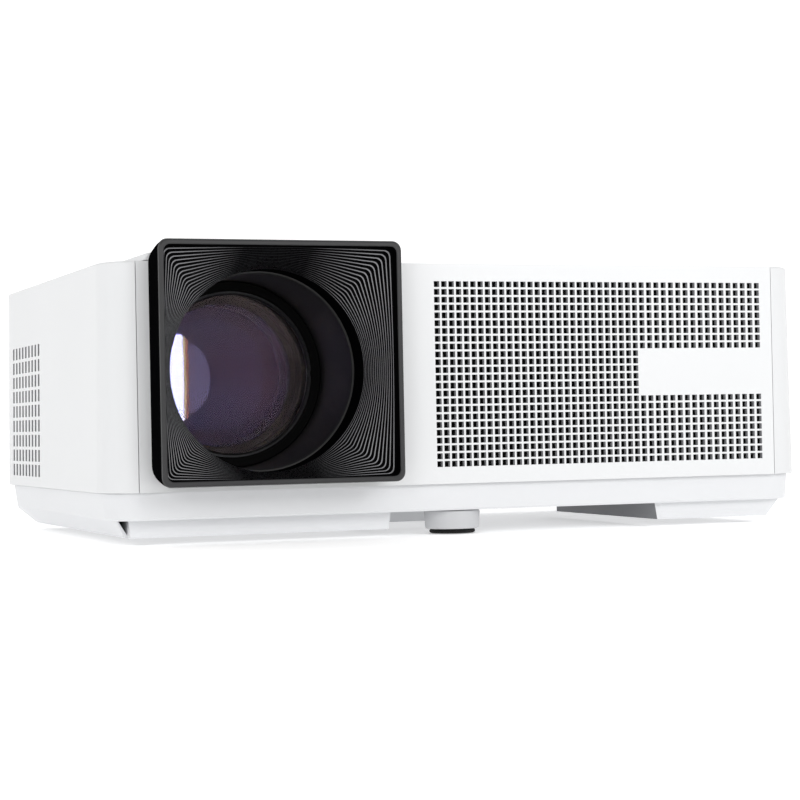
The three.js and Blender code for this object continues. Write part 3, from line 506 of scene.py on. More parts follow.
# %% [markdown]
# ## The top cover
# One deep moulding makes the sides, the back's corners and the top. Its sides lean in a little, or it
# would not leave the mould. The top edge is rounded by a millimetre, the front corners by
# fifteen. A raised cowl covers the lens tube and flares up behind the hood. It could be modelled
# as a box with bevels, but a stack of outlines keeps the lean and both corner sizes exact.

# %% Casing outlines
FRONT_CORNER = 15.5
REAR_CORNER = 4.0
LEAN = 1.2
TOP_ROUND = 1.2


def casing_outline(inset, lean):
    side = HALF_WIDTH - inset - lean
    front, rear = max(FRONT_CORNER - inset, 1), max(REAR_CORNER - inset, 1)
    return rounded_outline(-side, side, FRONT + inset, REAR - inset, front, rear, steps=16)


def casing_outer():
    straight = TOP - TOP_ROUND
    rings = [at_height(casing_outline(0.3, 0), SPLIT), at_height(casing_outline(0, 0), SPLIT + 0.4)]
    for step in range(5):
        angle = math.pi / 2 * step / 4
        inset = TOP_ROUND * (1 - math.cos(angle))
        rings.append(at_height(casing_outline(inset, LEAN), straight + TOP_ROUND * math.sin(angle)))
    return skin("casing", rings)


COWL_TOP = TOP + 3.3
COWL_HALF = 51.8
COWL_REAR = 20.0


def cowl():
    x0, x1 = LENS_X - COWL_HALF, LENS_X + COWL_HALF
    rings = [at_height(rounded_outline(x0 - 1.6, x1 + 1.6, FRONT, COWL_REAR + 8, 1, 7), TOP - 1)]
    rings.append(at_height(rounded_outline(x0 - 1.0, x1 + 1.0, FRONT, COWL_REAR + 5, 1, 7), TOP + 0.6))
    rings.append(at_height(rounded_outline(x0 + 0.1, x1 - 0.1, FRONT, COWL_REAR + 1, 1, 7), TOP + 2.6))
    rings.append(at_height(rounded_outline(x0 + 0.9, x1 - 0.9, FRONT, COWL_REAR - 1, 1, 7), COWL_TOP))
    return skin("cowl", rings)


def flare():
    x0, x1 = LENS_X - COWL_HALF, LENS_X + COWL_HALF
    rings = []
    for rise, back in ((3.0, 0.0), (2.0, 1.0), (1.2, 2.5), (0.5, 4.2), (0.1, 6.0)):
        outline = [(x0 + 9, COWL_TOP - 1), (x1 - 0.6, COWL_TOP - 1)]
        outline += [(x1 - 1.6, COWL_TOP + rise), (x0 + 14, COWL_TOP + rise)]
        rings.append(at_depth(outline, FRONT + back))
    return skin("flare", rings)


print("the cowl rises", round(COWL_TOP - TOP, 1), "mm above the top")

# %% [markdown]
# ### Cores for the vents, keys and openings
# Each side wall has a vent of nine columns by nine rows of upright slots. They are cut as slots, because
# their depth is what makes them look grey from one side and black from another; their walls also get a greyer
# plastic as painted shade.

# %% Cutting the cover
VENT_Y0, VENT_Y1, VENT_Z0, VENT_Z1 = 33.0, 101.0, 25.5, 87.5
VENT_COUNT = 9
SLOT_WIDTH = 3.5
SLOT_GAP = 1.5


def vent_slots():
    column, row = (VENT_Y1 - VENT_Y0) / VENT_COUNT, (VENT_Z1 - VENT_Z0) / VENT_COUNT
    extents = []
    for side in (-1, 1):
        x0, x1 = sorted((side * (HALF_WIDTH - 6), side * (HALF_WIDTH + 1)))
        for i in range(VENT_COUNT):
            y = VENT_Y0 + column * (i + 0.5)
            for j in range(VENT_COUNT):
                z = VENT_Z0 + row * j
                extents.append((
                    x0, x1, y - SLOT_WIDTH / 2, y + SLOT_WIDTH / 2, z + SLOT_GAP / 2, z + row - SLOT_GAP / 2))
    return boxes("vent_cores", extents)


KEYS = {
    "ok": (75, -20, 8), "up": (75, -3, 5.5), "down": (75, -37, 5.5), "left": (58, -20, 5.5),
    "right": (92, -20, 5.5), "power": (114, -20, 6.5), "source": (36, -20, 6.5)}
SEAM_LEFT, SEAM_RIGHT = -146.2, 144.3
FOCUS_WINDOW = (LENS_X - 23, LENS_X + 23, -22, -4, TOP - 5, TOP + 9)
SHOULDER_ROOM = 47.9
SHOULDER_FLAT = 24.0  # the shoulder's underside, hidden by the hood's lower edge


def shoulder_core(rear):
    """The room for the hood's shoulder: round, with a flat underside."""
    outline = []
    for i in range(96):
        angle = 2 * math.pi * i / 96
        low = max(LENS_Z + SHOULDER_ROOM * math.sin(angle), SHOULDER_FLAT - 0.4)
        outline.append((LENS_X + SHOULDER_ROOM * math.cos(angle), low))
    return skin("shoulder_core", [at_depth(outline, FRONT - 1), at_depth(outline, rear)])


def top_cover():
    cover = combine(casing_outer(), [cowl(), flare()], "UNION")
    hollow = skin("hollow", [
        at_height(casing_outline(WALL, 0), SPLIT - 1), at_height(casing_outline(WALL, LEAN), TOP - WALL)])
    rooms = boxes("rooms", [
        (LENS_X - COWL_HALF + WALL, LENS_X + COWL_HALF - WALL, FRONT + 2.8, COWL_REAR - WALL, TOP - 4,
         COWL_TOP - WALL)])
    front = boxes("front_opening", [
        (SEAM_LEFT - GAP / 2, SEAM_RIGHT + GAP / 2, FRONT - 1, FRONT + 2.8, 0, TOP + GAP)])
    rear = boxes("rear_opening", [(-140, 140, REAR - WALL - 1, REAR + 1, 0, 100)])
    window = boxes("window", [FOCUS_WINDOW])
    shoulder = shoulder_core(FRONT + 5.1)
    holes = [
        turned("key_hole", [(radius + 0.4, TOP - 4), (radius + 0.4, TOP + 1)], (x, y), "Z", 64)
        for x, y, radius in KEYS.values()]
    combine(cover, [hollow, rooms, front, rear, window, shoulder, vent_slots(), *holes])
    break_edges(cover, 0.25, 40, 2)
    return settle_normals(shade(cover))


def is_slot_wall(middle, normal):
    return (abs(normal.x) < 0.4 and HALF_WIDTH - 3.2 < abs(middle.x) < HALF_WIDTH - 0.35
            and VENT_Y0 < middle.y < VENT_Y1 and VENT_Z0 < middle.z < VENT_Z1)


cover = hand_over(top_cover(), WHITE_ABS, "casing", "white_abs", "top_cover")
# The slot walls take the greyer plastic of painted shade.
second_finish(cover, SLOT_ABS, is_slot_wall)

# %% [markdown]
# ## The perforated front panel
# The panel is a flat plate with 24 rows of square holes in two sections: 29 columns on the left and
# 17 slightly wider-spaced ones on the right, where a blank plate takes six rows. Cutting over a
# thousand holes by boolean would be slow and untidy. A grid is cleaner: lines run along every
# hole's edges, cells between them are either plate or hole, and each hole gets four walls.

# %% The grid of holes
HOLE = 2.48
ROW_COUNT, ROW_PITCH, FIRST_ROW = 24, 3.295, 106.8
LEFT_COLUMNS = [(-18 + i * 3.315) for i in range(29)]
RIGHT_COLUMNS = [(78.3 + i * 3.592) for i in range(17)]
PLATE_ROWS = range(9, 15)
PANEL_THICK = 2.2
PANEL_X0, PANEL_X1 = SEAM_LEFT + GAP / 2, SEAM_RIGHT - GAP / 2


def hole_cells():
    columns = LEFT_COLUMNS + RIGHT_COLUMNS
    cells = set()
    for i in range(len(columns)):
        for row in range(ROW_COUNT):
            if i >= len(LEFT_COLUMNS) and row in PLATE_ROWS:
                continue
            cells.add((2 * i + 1, 2 * (ROW_COUNT - 1 - row) + 1))
    return cells


def perforated_plate():
    xs = [PANEL_X0] + [edge for x in LEFT_COLUMNS + RIGHT_COLUMNS for edge in (x, x + HOLE)] + [PANEL_X1]
    tops = [FIRST_ROW - row * ROW_PITCH for row in reversed(range(ROW_COUNT))]
    zs = [SPLIT] + [edge for z in tops for edge in (z - HOLE, z)] + [TOP]
    wide = len(xs)
    layer = wide * len(zs)
    points = [(x, y, z) for y in (FRONT, FRONT + PANEL_THICK) for z in zs for x in xs]
    holes = hole_cells()
    faces = []

    def wall(a, b):
        faces.append((a, b, b + layer, a + layer))

    for i in range(wide - 1):
        for j in range(len(zs) - 1):
            a, b = j * wide + i, j * wide + i + 1
            c, d = b + wide, a + wide
            if (i, j) in holes:
                for edge in ((a, b), (b, c), (c, d), (d, a)):
                    wall(*edge)
            else:
                faces.append((a, b, c, d))
                faces.append((d + layer, c + layer, b + layer, a + layer))
            if i == 0:
                wall(a, d)
            if i == wide - 2:
                wall(b, c)
            if j == 0:
                wall(a, b)
            if j == len(zs) - 2:
                wall(d, c)
    return piece_from("perforated_panel", points, faces)


def front_panel():
    panel = perforated_plate()
    lens_hole = shoulder_core(FRONT + 4)
    notch = boxes("notch", [(LENS_X - 22, LENS_X + 22, FRONT - 1, FRONT + 4, LENS_Z + 20, TOP + 1)])
    return shade(combine(panel, [lens_hole, notch]))


def is_hole_wall(middle, normal):
    return (abs(normal.y) < 0.4 and FRONT < middle.y < FRONT + PANEL_THICK
            and -19 < middle.x < 139.5 and 27 < middle.z < 108)


panel = hand_over(front_panel(), PANEL_ABS, "casing", "panel_white", "front_panel")
# The hole walls take the grey of painted shade.
second_finish(panel, HOLE_SHADE_ABS, is_hole_wall)

# %% [markdown]
# ## The lens hood
# The hood is a deep black frame whose inside runs from a rounded square at the rim to a circle at the
# lens tube. Seventeen fine steps go round it: each breaks up stray light, and each step's edge
# shows a thin bright line, a painted highlight. One could draw the steps as a bump, but their outlines have
# to turn from square to round, which real steps do by themselves. So each step is two rings of mesh, and
# its outline is mixed from the square's and the circle's. Points crowd at the corners, where the
# square bends.

# %% Angles that crowd at the corners
POINTS_PER_QUARTER = 48


def crowded_angles():
    angles = []
    for quarter in range(4):
        middle = 45 + 90 * quarter
        for i in range(POINTS_PER_QUARTER):
            u = 2 * i / POINTS_PER_QUARTER - 1
            angles.append(math.radians(middle + 45 * (0.35 * u + 0.65 * u ** 3)))
    return angles


ANGLES = crowded_angles()


def square_reach(angle, half_width, half_height, radius):
    """From the middle of a rounded rectangle to its edge, along an angle."""
    c, s = abs(math.cos(angle)), abs(math.sin(angle))
    reach = min(half_width / c if c > 1e-9 else 1e9, half_height / s if s > 1e-9 else 1e9)
    corner_x, corner_z = half_width - radius, half_height - radius
    if reach * c > corner_x and reach * s > corner_z:
        along = c * corner_x + s * corner_z
        reach = along + math.sqrt(max(along ** 2 - corner_x ** 2 - corner_z ** 2 + radius ** 2, 0))
    return reach


print(len(ANGLES), "points round each step")

# %% The hood's rings
HOOD_Z = 72.7
HOOD_HALF_WIDTH, HOOD_HALF_HEIGHT = 51.2, 49.2
RIM_Y = FRONT - 17.6
RIM_WIDTH = 2.3
INNER_WALL = 4.2
FUNNEL_END = FRONT + 4.5
FUNNEL_RADIUS = 41.7
STEPS = 17
EASE = 1.3
EDGE_SHARE = 0.27  # how much of a step's width is its rounded, shining edge


def square_ring(inset, radius, y):
    ring = []
    for angle in ANGLES:
        reach = square_reach(angle, HOOD_HALF_WIDTH - inset, HOOD_HALF_HEIGHT - inset, radius)
        ring.append((LENS_X + reach * math.cos(angle), y, HOOD_Z + reach * math.sin(angle)))
    return ring


def mixed_ring(share, y, shrink=0.0):
    """share 0 is the rounded square inside the rim, 1 the circle of the lens tube."""
    ring = []
    middle = HOOD_Z + (LENS_Z - HOOD_Z) * share
    for angle in ANGLES:
        square = square_reach(angle, HOOD_HALF_WIDTH - RIM_WIDTH, HOOD_HALF_HEIGHT - RIM_WIDTH, 2.5)
        reach = square + (FUNNEL_RADIUS - square) * share - shrink
        ring.append((LENS_X + reach * math.cos(angle), y, middle + reach * math.sin(angle)))
    return ring


def round_ring(radius, y, floor=0.0):
    return [
        (LENS_X + radius * math.cos(a), y, max(LENS_Z + radius * math.sin(a), floor)) for a in ANGLES]


def funnel_rings():
    start = RIM_Y + INNER_WALL
    depth = FUNNEL_END - start
    rings = []
    for step in range(STEPS):
        share_in = 1 - (1 - step / STEPS) ** EASE
        share_out = 1 - (1 - (step + 1) / STEPS) ** EASE
        y_in, y_out = start + depth * step / STEPS, start + depth * (step + 1) / STEPS
        run = y_out - y_in
        share_edge = share_in + (share_out - share_in) * (1 - EDGE_SHARE)
        rings.append(mixed_ring(share_in, y_in + 0.60 * run))
        rings.append(mixed_ring(share_edge, y_in + 0.78 * run))
        rings.append(mixed_ring(share_out, y_in + run))
    return rings


bands = {}


def lens_hood():
    back = FRONT - GAP
    rings = [square_ring(0.2, 8.5, back), square_ring(0.0, 6.0, RIM_Y + 9), square_ring(0, 3.9, RIM_Y + 1.0)]
    rings += [square_ring(0.25, 3.8, RIM_Y + 0.35), square_ring(0.85, 3.4, RIM_Y)]
    rings += [square_ring(RIM_WIDTH - 0.3, 2.6, RIM_Y), square_ring(RIM_WIDTH, 2.5, RIM_Y + 0.3)]
    rings += [square_ring(RIM_WIDTH, 2.5, RIM_Y + INNER_WALL)]
    bands["rim"] = range(2, len(rings) - 2)
    bands["edges"] = [len(rings) + 3 * step + 1 for step in range(STEPS)]
    rings += funnel_rings()
    rings += [round_ring(FUNNEL_RADIUS, FUNNEL_END + 0.2), round_ring(FUNNEL_RADIUS, -79.6)]
    rings += [round_ring(43.7, -79.6), round_ring(43.7, FRONT + 4.8)]
    rings += [round_ring(47.5, FRONT + 4.8, SHOULDER_FLAT), round_ring(47.5, back, SHOULDER_FLAT)]
    return shade(skin("lens_hood_steps", rings, joined=True), 25)


hood = hand_over(lens_hood(), HOOD_ABS, "casing", "hood_black", "lens_hood")
# The rim band takes a lighter black as painted sheen.
hood.data.materials.append(RIM_SHEEN_ABS)
# Each step's edge takes a pale grey as painted highlight.
hood.data.materials.append(STEP_HIGHLIGHT_ABS)
for number, face in enumerate(hood.data.polygons):
    band = number // len(ANGLES)
    face.material_index = 1 if band in bands["rim"] else 2 if band in bands["edges"] else 0

# %% [markdown]
# ## The lens tube
# Behind the hood sits a plain matt tube with a rounded mouth, and in it slides the barrel with the
# glass. All of these are turned shapes. The mouth's small radius matters: it draws one bright
# arc round the dark opening. The barrel holds the front lens with a screwed ring that has two
# notches for a spanner.

# %% Tube, barrel and ring
TUBE_BORE = 40.8
BARREL_FRONT = -39.2
LENS_AXIS = (LENS_X, LENS_Z)


def lens_tube():
    profile = [(43.0, -79.2 + 0.5), (42.85, -79.2 + 0.15), (42.5, -79.2)]
    profile += [(41.5, -79.2), (41.1, -79.1), (40.9, -78.85), (TUBE_BORE, -78.4)]
    profile += [(TUBE_BORE, 9.4), (38.8, 9.5), (38.8, 11.7), (43.9, 11.7), (43.9, 9.0), (43.0, 9.0)]
    return shade(turned("lens_tube", profile, LENS_AXIS, segments=160, joined=True), 50)


def lens_barrel():
    front = BARREL_FRONT
    profile = [(40.4, front + 0.6), (39.9, front), (36.8, front), (36.3, front + 0.5), (36.3, front + 8.7)]
    profile += [(33, front + 8.7), (33, -20), (30.3, -20), (30.3, -7), (27.3, -7), (27.3, 3), (40.4, 3)]
    return shade(turned("barrel", profile, LENS_AXIS, segments=128, joined=True))


def retaining_ring():
    front = BARREL_FRONT + 0.6
    profile = [(36.0, front), (35.2, front), (34.4, front + 0.8), (34.4, front + 1.8), (36.0, front + 1.8)]
    ring = turned("retaining_ring", profile, LENS_AXIS, segments=160, joined=True)
    notches = boxes("notches", [
        (LENS_X + side * 35.6 - 1.5, LENS_X + side * 35.6 + 1.5, front - 1, front + 0.9,
         LENS_Z - 1.2, LENS_Z + 1.2)
        for side in (-1, 1)])
    return shade(combine(ring, [notches]))


hand_over(lens_tube(), TUBE_BLACK, "casing", "matt_black", "lens_sleeve")
hand_over(lens_barrel(), BARREL_BLACK, "lens_group", "matt_black", "lens_barrel")
hand_over(retaining_ring(), ANODISED, "lens_group", "ring_aluminium", "lens_retaining_ring")

# %% [markdown]
# ## The glass
# Each element is a turned profile whose faces are true arcs, because a lens shows any flat spot in
# its reflections at once. The front element bulges 3.6 mm.

# %% Lens elements
def bulge(radius, edge, sag, direction, count=28):
    """Points from the axis to the edge on one spherical face; sag is its height at the axis."""
    if sag == 0:
        return [(0.001, edge), (radius * 0.5, edge), (radius, edge)]
    sphere = (radius ** 2 + sag ** 2) / (2 * sag)
    points = []
    for i in range(count + 1):
        r = max(radius * i / count, 0.001)
        height = math.sqrt(sphere ** 2 - r ** 2) - (sphere - sag)
        points.append((r, edge + direction * height))
    return points


def lens_element(name, radius, front_edge, rear_edge, front_sag, rear_sag):
    front = bulge(radius, front_edge, front_sag, -1)
    rear = bulge(radius, rear_edge, rear_sag, 1)
    return shade(turned(name, front + rear[::-1], LENS_AXIS, segments=128), 40)


front_lens = lens_element("front_element", 35.9, BARREL_FRONT + 2.7, BARREL_FRONT + 8.4, 3.6, 0)
second_lens = lens_element("second_element", 29.9, -19.7, -14, 0, 4)
rear_lens = lens_element("rear_element", 26.9, -5, 0, 3, 1)
hand_over(front_lens, FRONT_GLASS, "lens_group", "coated_glass", "front_lens")
hand_over(second_lens, SECOND_GLASS, "lens_group", "coated_glass", "second_lens")
hand_over(rear_lens, REAR_GLASS, "lens_group", "coated_glass", "rear_lens")


def is_lens_edge(middle, normal):
    return abs(normal.y) < 0.1


# The ground edge of a lens is painted black, or stray light would enter there.
for element in (front_lens, second_lens, rear_lens):
    second_finish(element, BARREL_BLACK, is_lens_edge)

# %% [markdown]
# ## The focus ring
# A thumb turns this ring through the window in the cowl. Its grip is a row of straight teeth with
# rounded tops, made by swelling the radius with a cosine as the ring goes round.

# %% Ribbed ring
RIBS = 44


def focus_ring():
    segments = RIBS * 8
    rings = []
    for inner, y in ((False, -19.6), (False, -6.4), (True, -6.1), (True, -19.9)):
        ring = []
        for i in range(segments):
            angle = 2 * math.pi * i / segments
            rib = 0.5 + 0.5 * math.cos(RIBS * angle)
            radius = 43.4 if inner else 48.4 + 0.95 * rib ** 0.6
            ring.append((LENS_X + radius * math.cos(angle), y, LENS_Z + radius * math.sin(angle)))
        rings.append(ring)
    return shade(skin("ribbed_focus_ring", rings, joined=True), 60)


hand_over(focus_ring(), INNER_BLACK, "focus_ring", "matt_black", "focus_ring")

# %% [markdown]
# ## The base tub
# The lower half is a shallow tub, set back under the casing by a few millimetres, with two
# raised plinths under it. The left one is long and has a sloping outer flank; the right one is
# a small block beside the screw foot. Every corner here is drafted, because it has to leave the
# mould, and the front corner of the right plinth is rounded where it faces the table.

# %% Tub and plinths
PLINTH = 2.7
TUB_TOP = SPLIT - GAP
SCREWS = {
    "front_left": (-140, -75, PLINTH), "front_right": (138, -78, PLINTH),
    "rear_left": (-140, 100, PLINTH), "rear_right": (146, 101, TUB_BOTTOM)}


def tub_body():
    low = rounded_outline(-155.9, 155.9, FRONT + 3.8, REAR - 5.0, 12.4, 2.6, steps=14)
    side = rounded_outline(-156.7, 156.7, FRONT + 3, REAR - 4.3, 13, 3, steps=14)
    high = rounded_outline(-158, 158, FRONT + 3, REAR - 3.5, 13.6, 3, steps=14)
    lip = rounded_outline(-157, 157, FRONT + 3, REAR - 3.8, 12.6, 1.5, steps=14)
    outer = skin("tub", [
        at_height(low, TUB_BOTTOM), at_height(side, TUB_BOTTOM + 0.8), at_height(high, TUB_TOP)])
    return combine(outer, [skin("lip", [at_height(lip, TUB_TOP - 1), at_height(lip, SPLIT + 4.6)])], "UNION")


def left_plinth():
    front = FRONT + 12
    outline = [(-148, front), (-34.7, front), (-34.7, FRONT + 72), (24, FRONT + 72), (24, 108), (-148, 108)]
    base = [(-147, front + 1), (-35.7, front + 1), (-35.7, FRONT + 73), (23, FRONT + 73)]
    base += [(23, 106), (-147, 106)]
    return skin("left_plinth", [at_height(base, PLINTH), at_height(outline, TUB_BOTTOM + 1)])


def plinth_ramp():
    """The sloping flank: its front end rakes forward, its rear end rakes back."""
    def flank(y_low, y_high, reach):
        return [(-148.3, y_low, PLINTH + 0.2), (-147, y_low, PLINTH), (-147, y_high, TUB_BOTTOM + 1),
                (-reach, y_high, TUB_BOTTOM + 0.9), (-reach, y_high, TUB_BOTTOM)]
    return skin("ramp", [flank(FRONT + 19, FRONT + 14, 152.5), flank(103, 109, 156.0)])


def ramp_pocket():
    """The flank is a hollow wedge: its front end is open, and dark inside."""
    def opening(y):
        return [(-147.2, y, PLINTH + 1.2), (-147.2, y, TUB_BOTTOM - 0.3), (-151.6, y, TUB_BOTTOM - 0.3)]
    return skin("ramp_pocket", [opening(FRONT + 13), opening(FRONT + 45)])


def right_plinth():
    front, rear = FRONT + 8, FRONT + 120.7
    low = [(89.5, front + 0.6), (91.5, front), (144.0, front), (146, front + 6), (146, rear), (92.9, rear)]
    high = [(88.2, front + 0.6), (90.5, front), (151, front), (153.5, front + 6), (153.5, rear), (92.9, rear)]
    return skin("right_plinth", [at_height(low, PLINTH), at_height(high, TUB_BOTTOM + 0.5)])


def base_tub():
    rear_boss = boxes("rear_boss", [(126, 148, 74, 98, PLINTH, TUB_BOTTOM + 0.5)])
    tub = combine(tub_body(), [left_plinth(), plinth_ramp(), right_plinth(), rear_boss], "UNION")
    inner = rounded_outline(-154.2, 154.2, FRONT + 5.5, REAR - 6.3, 10, 1.5)
    hollow = skin("hollow", [at_height(inner, TUB_BOTTOM + WALL), at_height(inner, SPLIT + 6)])
    shoulder = shoulder_core(FRONT + 5.1)
    foot_hole = turned("foot_hole", [(4.2, TUB_BOTTOM - 1), (4.2, TUB_BOTTOM + 4)], (-5, FRONT + 17), "Z", 32)
    wells = [
        turned("screw_well", [(3.2, low - 1), (3.2, TUB_BOTTOM + 1)], (x, y), "Z", 40)
        for x, y, low in SCREWS.values()]
    socket_gap = boxes("socket_gap", [(-112, 142, REAR - 7, REAR, TUB_TOP, SPLIT + 6)])
    combine(tub, [hollow, shoulder, foot_hole, *wells, socket_gap, ramp_pocket()])
    break_edges(tub, 0.3, 28, 2)
    return settle_normals(shade(tub))




def is_inner_flank(middle, normal):
    return normal.x < -0.8 and middle.z < TUB_BOTTOM and 80 < middle.x < 100


tub = hand_over(base_tub(), TUB_ABS, "casing", "white_abs", "base_tub")
second_finish(tub, FLANK_ABS, is_inner_flank)

# %% [markdown]
# ## The screw foot
# Turning the foot raises the front. It is a short, plain moulded drum that tapers a little towards
# the table, on a threaded rod, and a rubber pad under it keeps still while the drum turns.

# %% Foot drum and pad
FOOT = (-5, FRONT + 17)


def foot_drum():
    profile = [(0.01, 1.9), (10.9, 1.9), (11.4, 2.1), (11.6, 2.6), (11.98, 8.9), (11.8, 9.5), (11.3, 9.8)]
    profile += [(3.8, 9.8)]
    for turn in range(12):
        z = 10.4 + 2 * turn
        profile += [(3.8, z), (3.3, z + 0.9), (3.8, z + 1.8)]
    profile += [(3.2, 34), (0.01, 34)]
    return shade(turned("foot_drum", profile, FOOT, "Z", 96), 40)


def foot_pad():
    profile = [(9.2, 0), (9.7, 0.3), (9.85, 0.8), (9.7, 1.4), (9.4, 1.6)]
    return shade(turned("foot_rubber", profile, FOOT, "Z", 96), 50)


hand_over(foot_drum(), FOOT_ABS, "foot_screw", "foot_white", "front_foot_knob")
hand_over(foot_pad(), PAD_RUBBER, "foot_pad", "rubber_black", "front_foot_pad")

# %% [markdown]
# ## Keys
# Seven small caps stand on the top. Each has a soft dome and a thin printed sign: four arrows, a
# ring for OK, a power sign, and a source sign. The signs are general ones. They are thin plates a few
# hundredths of a millimetre proud, as printed ink is.

# %% Caps
KEY_TOP = TOP + 0.8


def key_cap(name, x, y, radius):
    profile = [(radius + 1.6, 108.3), (radius + 1.6, 111.4), (radius, 111.5), (radius, KEY_TOP - 0.5)]
    for step in range(1, 5):
        angle = math.pi / 2 * step / 4
        profile.append((radius - 0.45 * (1 - math.cos(angle)), KEY_TOP - 0.5 + 0.35 * math.sin(angle)))
    profile += [(radius * 0.7, KEY_TOP - 0.06), (radius * 0.35, KEY_TOP - 0.03), (0.01, KEY_TOP - 0.02)]
    return shade(turned(f"cap_{name}", profile, (x, y), "Z", 64), 50)


SIGN_LOW, SIGN_HIGH = KEY_TOP - 0.10, KEY_TOP


def flat_sign(name, shapes):
    """Shapes are flat outlines, each raised into a thin plate."""
    points, faces = [], []
    for outline in shapes:
        base, count = len(points), len(outline)
        points += [(x, y, SIGN_LOW) for x, y in outline] + [(x, y, SIGN_HIGH) for x, y in outline]
        faces.append(tuple(base + i for i in reversed(range(count))))
        faces.append(tuple(base + count + i for i in range(count)))
        for i in range(count):
            j = (i + 1) % count
            faces.append((base + i, base + j, base + count + j, base + count + i))
    return piece_from(name, points, faces)


def arc_band(x, y, radius, width, start, end, count=36):
    outer = [math.radians(start + (end - start) * i / count) for i in range(count + 1)]
    band = [(x + radius * math.cos(a), y + radius * math.sin(a)) for a in outer]
    inner = radius - width
    return band + [(x + inner * math.cos(a), y + inner * math.sin(a)) for a in outer[::-1]]


def arrow(x, y, turn, size):
    corners = [(size, 0), (-size * 0.6, size), (-size * 0.6, -size)]
    c, s = math.cos(turn), math.sin(turn)
    return [(x + a * c - b * s, y + a * s + b * c) for a, b in corners]


def sign_for(name, x, y):
    turns = {"right": 0, "up": 90, "left": 180, "down": 270}
    if name in turns:
        return [arrow(x, y, math.radians(turns[name]), 1.7)]
    if name == "ok":
        return [arc_band(x, y, 3.4, 0.7, 0, 180), arc_band(x, y, 3.4, 0.7, 180, 360)]
    if name == "power":
        stem = [(x - 0.3, y + 0.4), (x + 0.3, y + 0.4), (x + 0.3, y + 3.0), (x - 0.3, y + 3.0)]
        return [arc_band(x, y, 2.6, 0.6, 120, 420), stem]
    tray = [(x - 2.6, y - 2.4), (x + 2.6, y - 2.4), (x + 2.6, y - 1.8), (x - 2.6, y - 1.8)]
    return [arrow(x, y + 0.6, math.radians(270), 1.5), tray]


for key, (x, y, radius) in KEYS.items():
    hand_over(key_cap(key, x, y, radius), KEY_ABS, f"key_{key}", "key_grey", f"key_{key}")
    hand_over(flat_sign(f"sign_{key}", sign_for(key, x, y)), KEY_INK, f"key_{key}", "key_grey")

# %% [markdown]
# ## Screws
# Four pan-head screws hold the halves together from below. Each head is domed and has a cross
# recess, cut by two crossed blades.

# %% Cross-recess screws
def casing_screw(name, x, y):
    head = TUB_BOTTOM + 0.7
    profile = [(0.01, head - 2.2), (1.6, head - 2.1), (2.5, head - 1.6), (2.9, head - 0.8), (2.9, head)]
    profile += [(1.45, head), (1.45, head + 14), (0.01, head + 14)]
    screw = turned(f"screw_{name}_steel", profile, (x, y), "Z", 48)
    blades = [
        boxes("blade", [(x - 1.5, x + 1.5, y - 0.3, y + 0.3, head - 3, head - 1.0)]),
        boxes("blade", [(x - 0.3, x + 0.3, y - 1.5, y + 1.5, head - 3, head - 1.0)])]
    return shade(combine(screw, blades))


for name, (x, y, low) in SCREWS.items():
    hand_over(casing_screw(name, x, y), ZINC, "casing", "screw_steel", f"screw_{name}")

# %% [markdown]
# ## Pieces whose CAD shape is already right
# Sockets, boards, fans and the light box keep their CAD shapes. Each gets its real finish, and a
# bevel modifier breaks its edges. A weld comes first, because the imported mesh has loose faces.

# %% Finishes for the kept pieces
def keep(node, finish, edge=0.2):
    piece = nodes[node]
    piece.data.materials.clear()
    piece.data.materials.append(finish)
    if edge:
        weld = piece.modifiers.new("weld", "WELD")
        weld.merge_threshold = 0.005 * MM
        bevel = piece.modifiers.new("edge", "BEVEL")
        bevel.width = edge * MM
        bevel.segments = 2
        bevel.limit_method = "ANGLE"
        bevel.angle_limit = math.radians(35)
        bevel.harden_normals = False


KEPT = {
    REAR_ABS: ["rear_panel"],
    SCREEN: ["dust_screen"],
    INNER_BLACK: ["light_box", "light_box_lid", "intake_fan_frame", "exhaust_fan_frame", "intake_fan_rotor",
                  "exhaust_fan_rotor", "av_jack", "headphone_jack", "power_inlet", "speaker_left",
                  "speaker_right"],
    ACRYLIC: ["fresnel_front", "fresnel_rear", "lcd_panel", "condenser_lens"],
    MIRROR: ["fold_mirror"],
    EXTRUDED: ["heat_sink"],
    BOARD: ["main_board", "power_supply_board", "keypad_board", "led_module"],
    NICKEL: ["hdmi_socket_1", "hdmi_socket_2", "usb_socket_1", "usb_socket_2", "foot_nut"],
    SOCKET_BLUE: ["vga_socket"],
    IR_PLASTIC: ["ir_window"],
    PAD_RUBBER: ["rear_pad_left", "rear_pad_right"],
}
for finish, names in KEPT.items():
    for name in names:
        keep(name, finish, 0.15)
print("kept", sum(len(names) for names in KEPT.values()), "CAD shapes")

# %% [markdown]
# ## Floor, light and camera
# The projector stands on a pale sweep: a floor that curves up behind, so that no horizon shows. The
# light is a white surround with three soft boxes: one high in front, one at the front right for the
# hood's rim, and one at the front left for the rounded corner. A long lens, about 96 mm, looks from
# low on the left, so the verticals stay nearly parallel.

# %% Stage
def sweep():
    profile = [(-9000, -0.3), (900, -0.3)]
    for i in range(1, 13):
        angle = math.pi / 2 * i / 12
        profile.append((900 + 900 * math.sin(angle), 900 * (1 - math.cos(angle))))
    profile.append((1800, 3000))
    half = 9000
    points = [(x, y, z) for y, z in profile for x in (-half, half)]
    faces = [(2 * i, 2 * i + 1, 2 * i + 3, 2 * i + 2) for i in range(len(profile) - 1)]
    floor = piece_from("sweep", points, faces)
    paint = moulded_plastic("painted_sweep", "#fdfdfd", "#fcfcfc", 0.9, 2.0, 0.001)
    glow = paint.node_tree.nodes["Principled BSDF"].inputs
    glow["Emission Color"].default_value = (1, 1, 1, 1)
    glow["Emission Strength"].default_value = 0.3
    floor.data.materials.append(paint)
    return shade(floor, 60)


sweep()


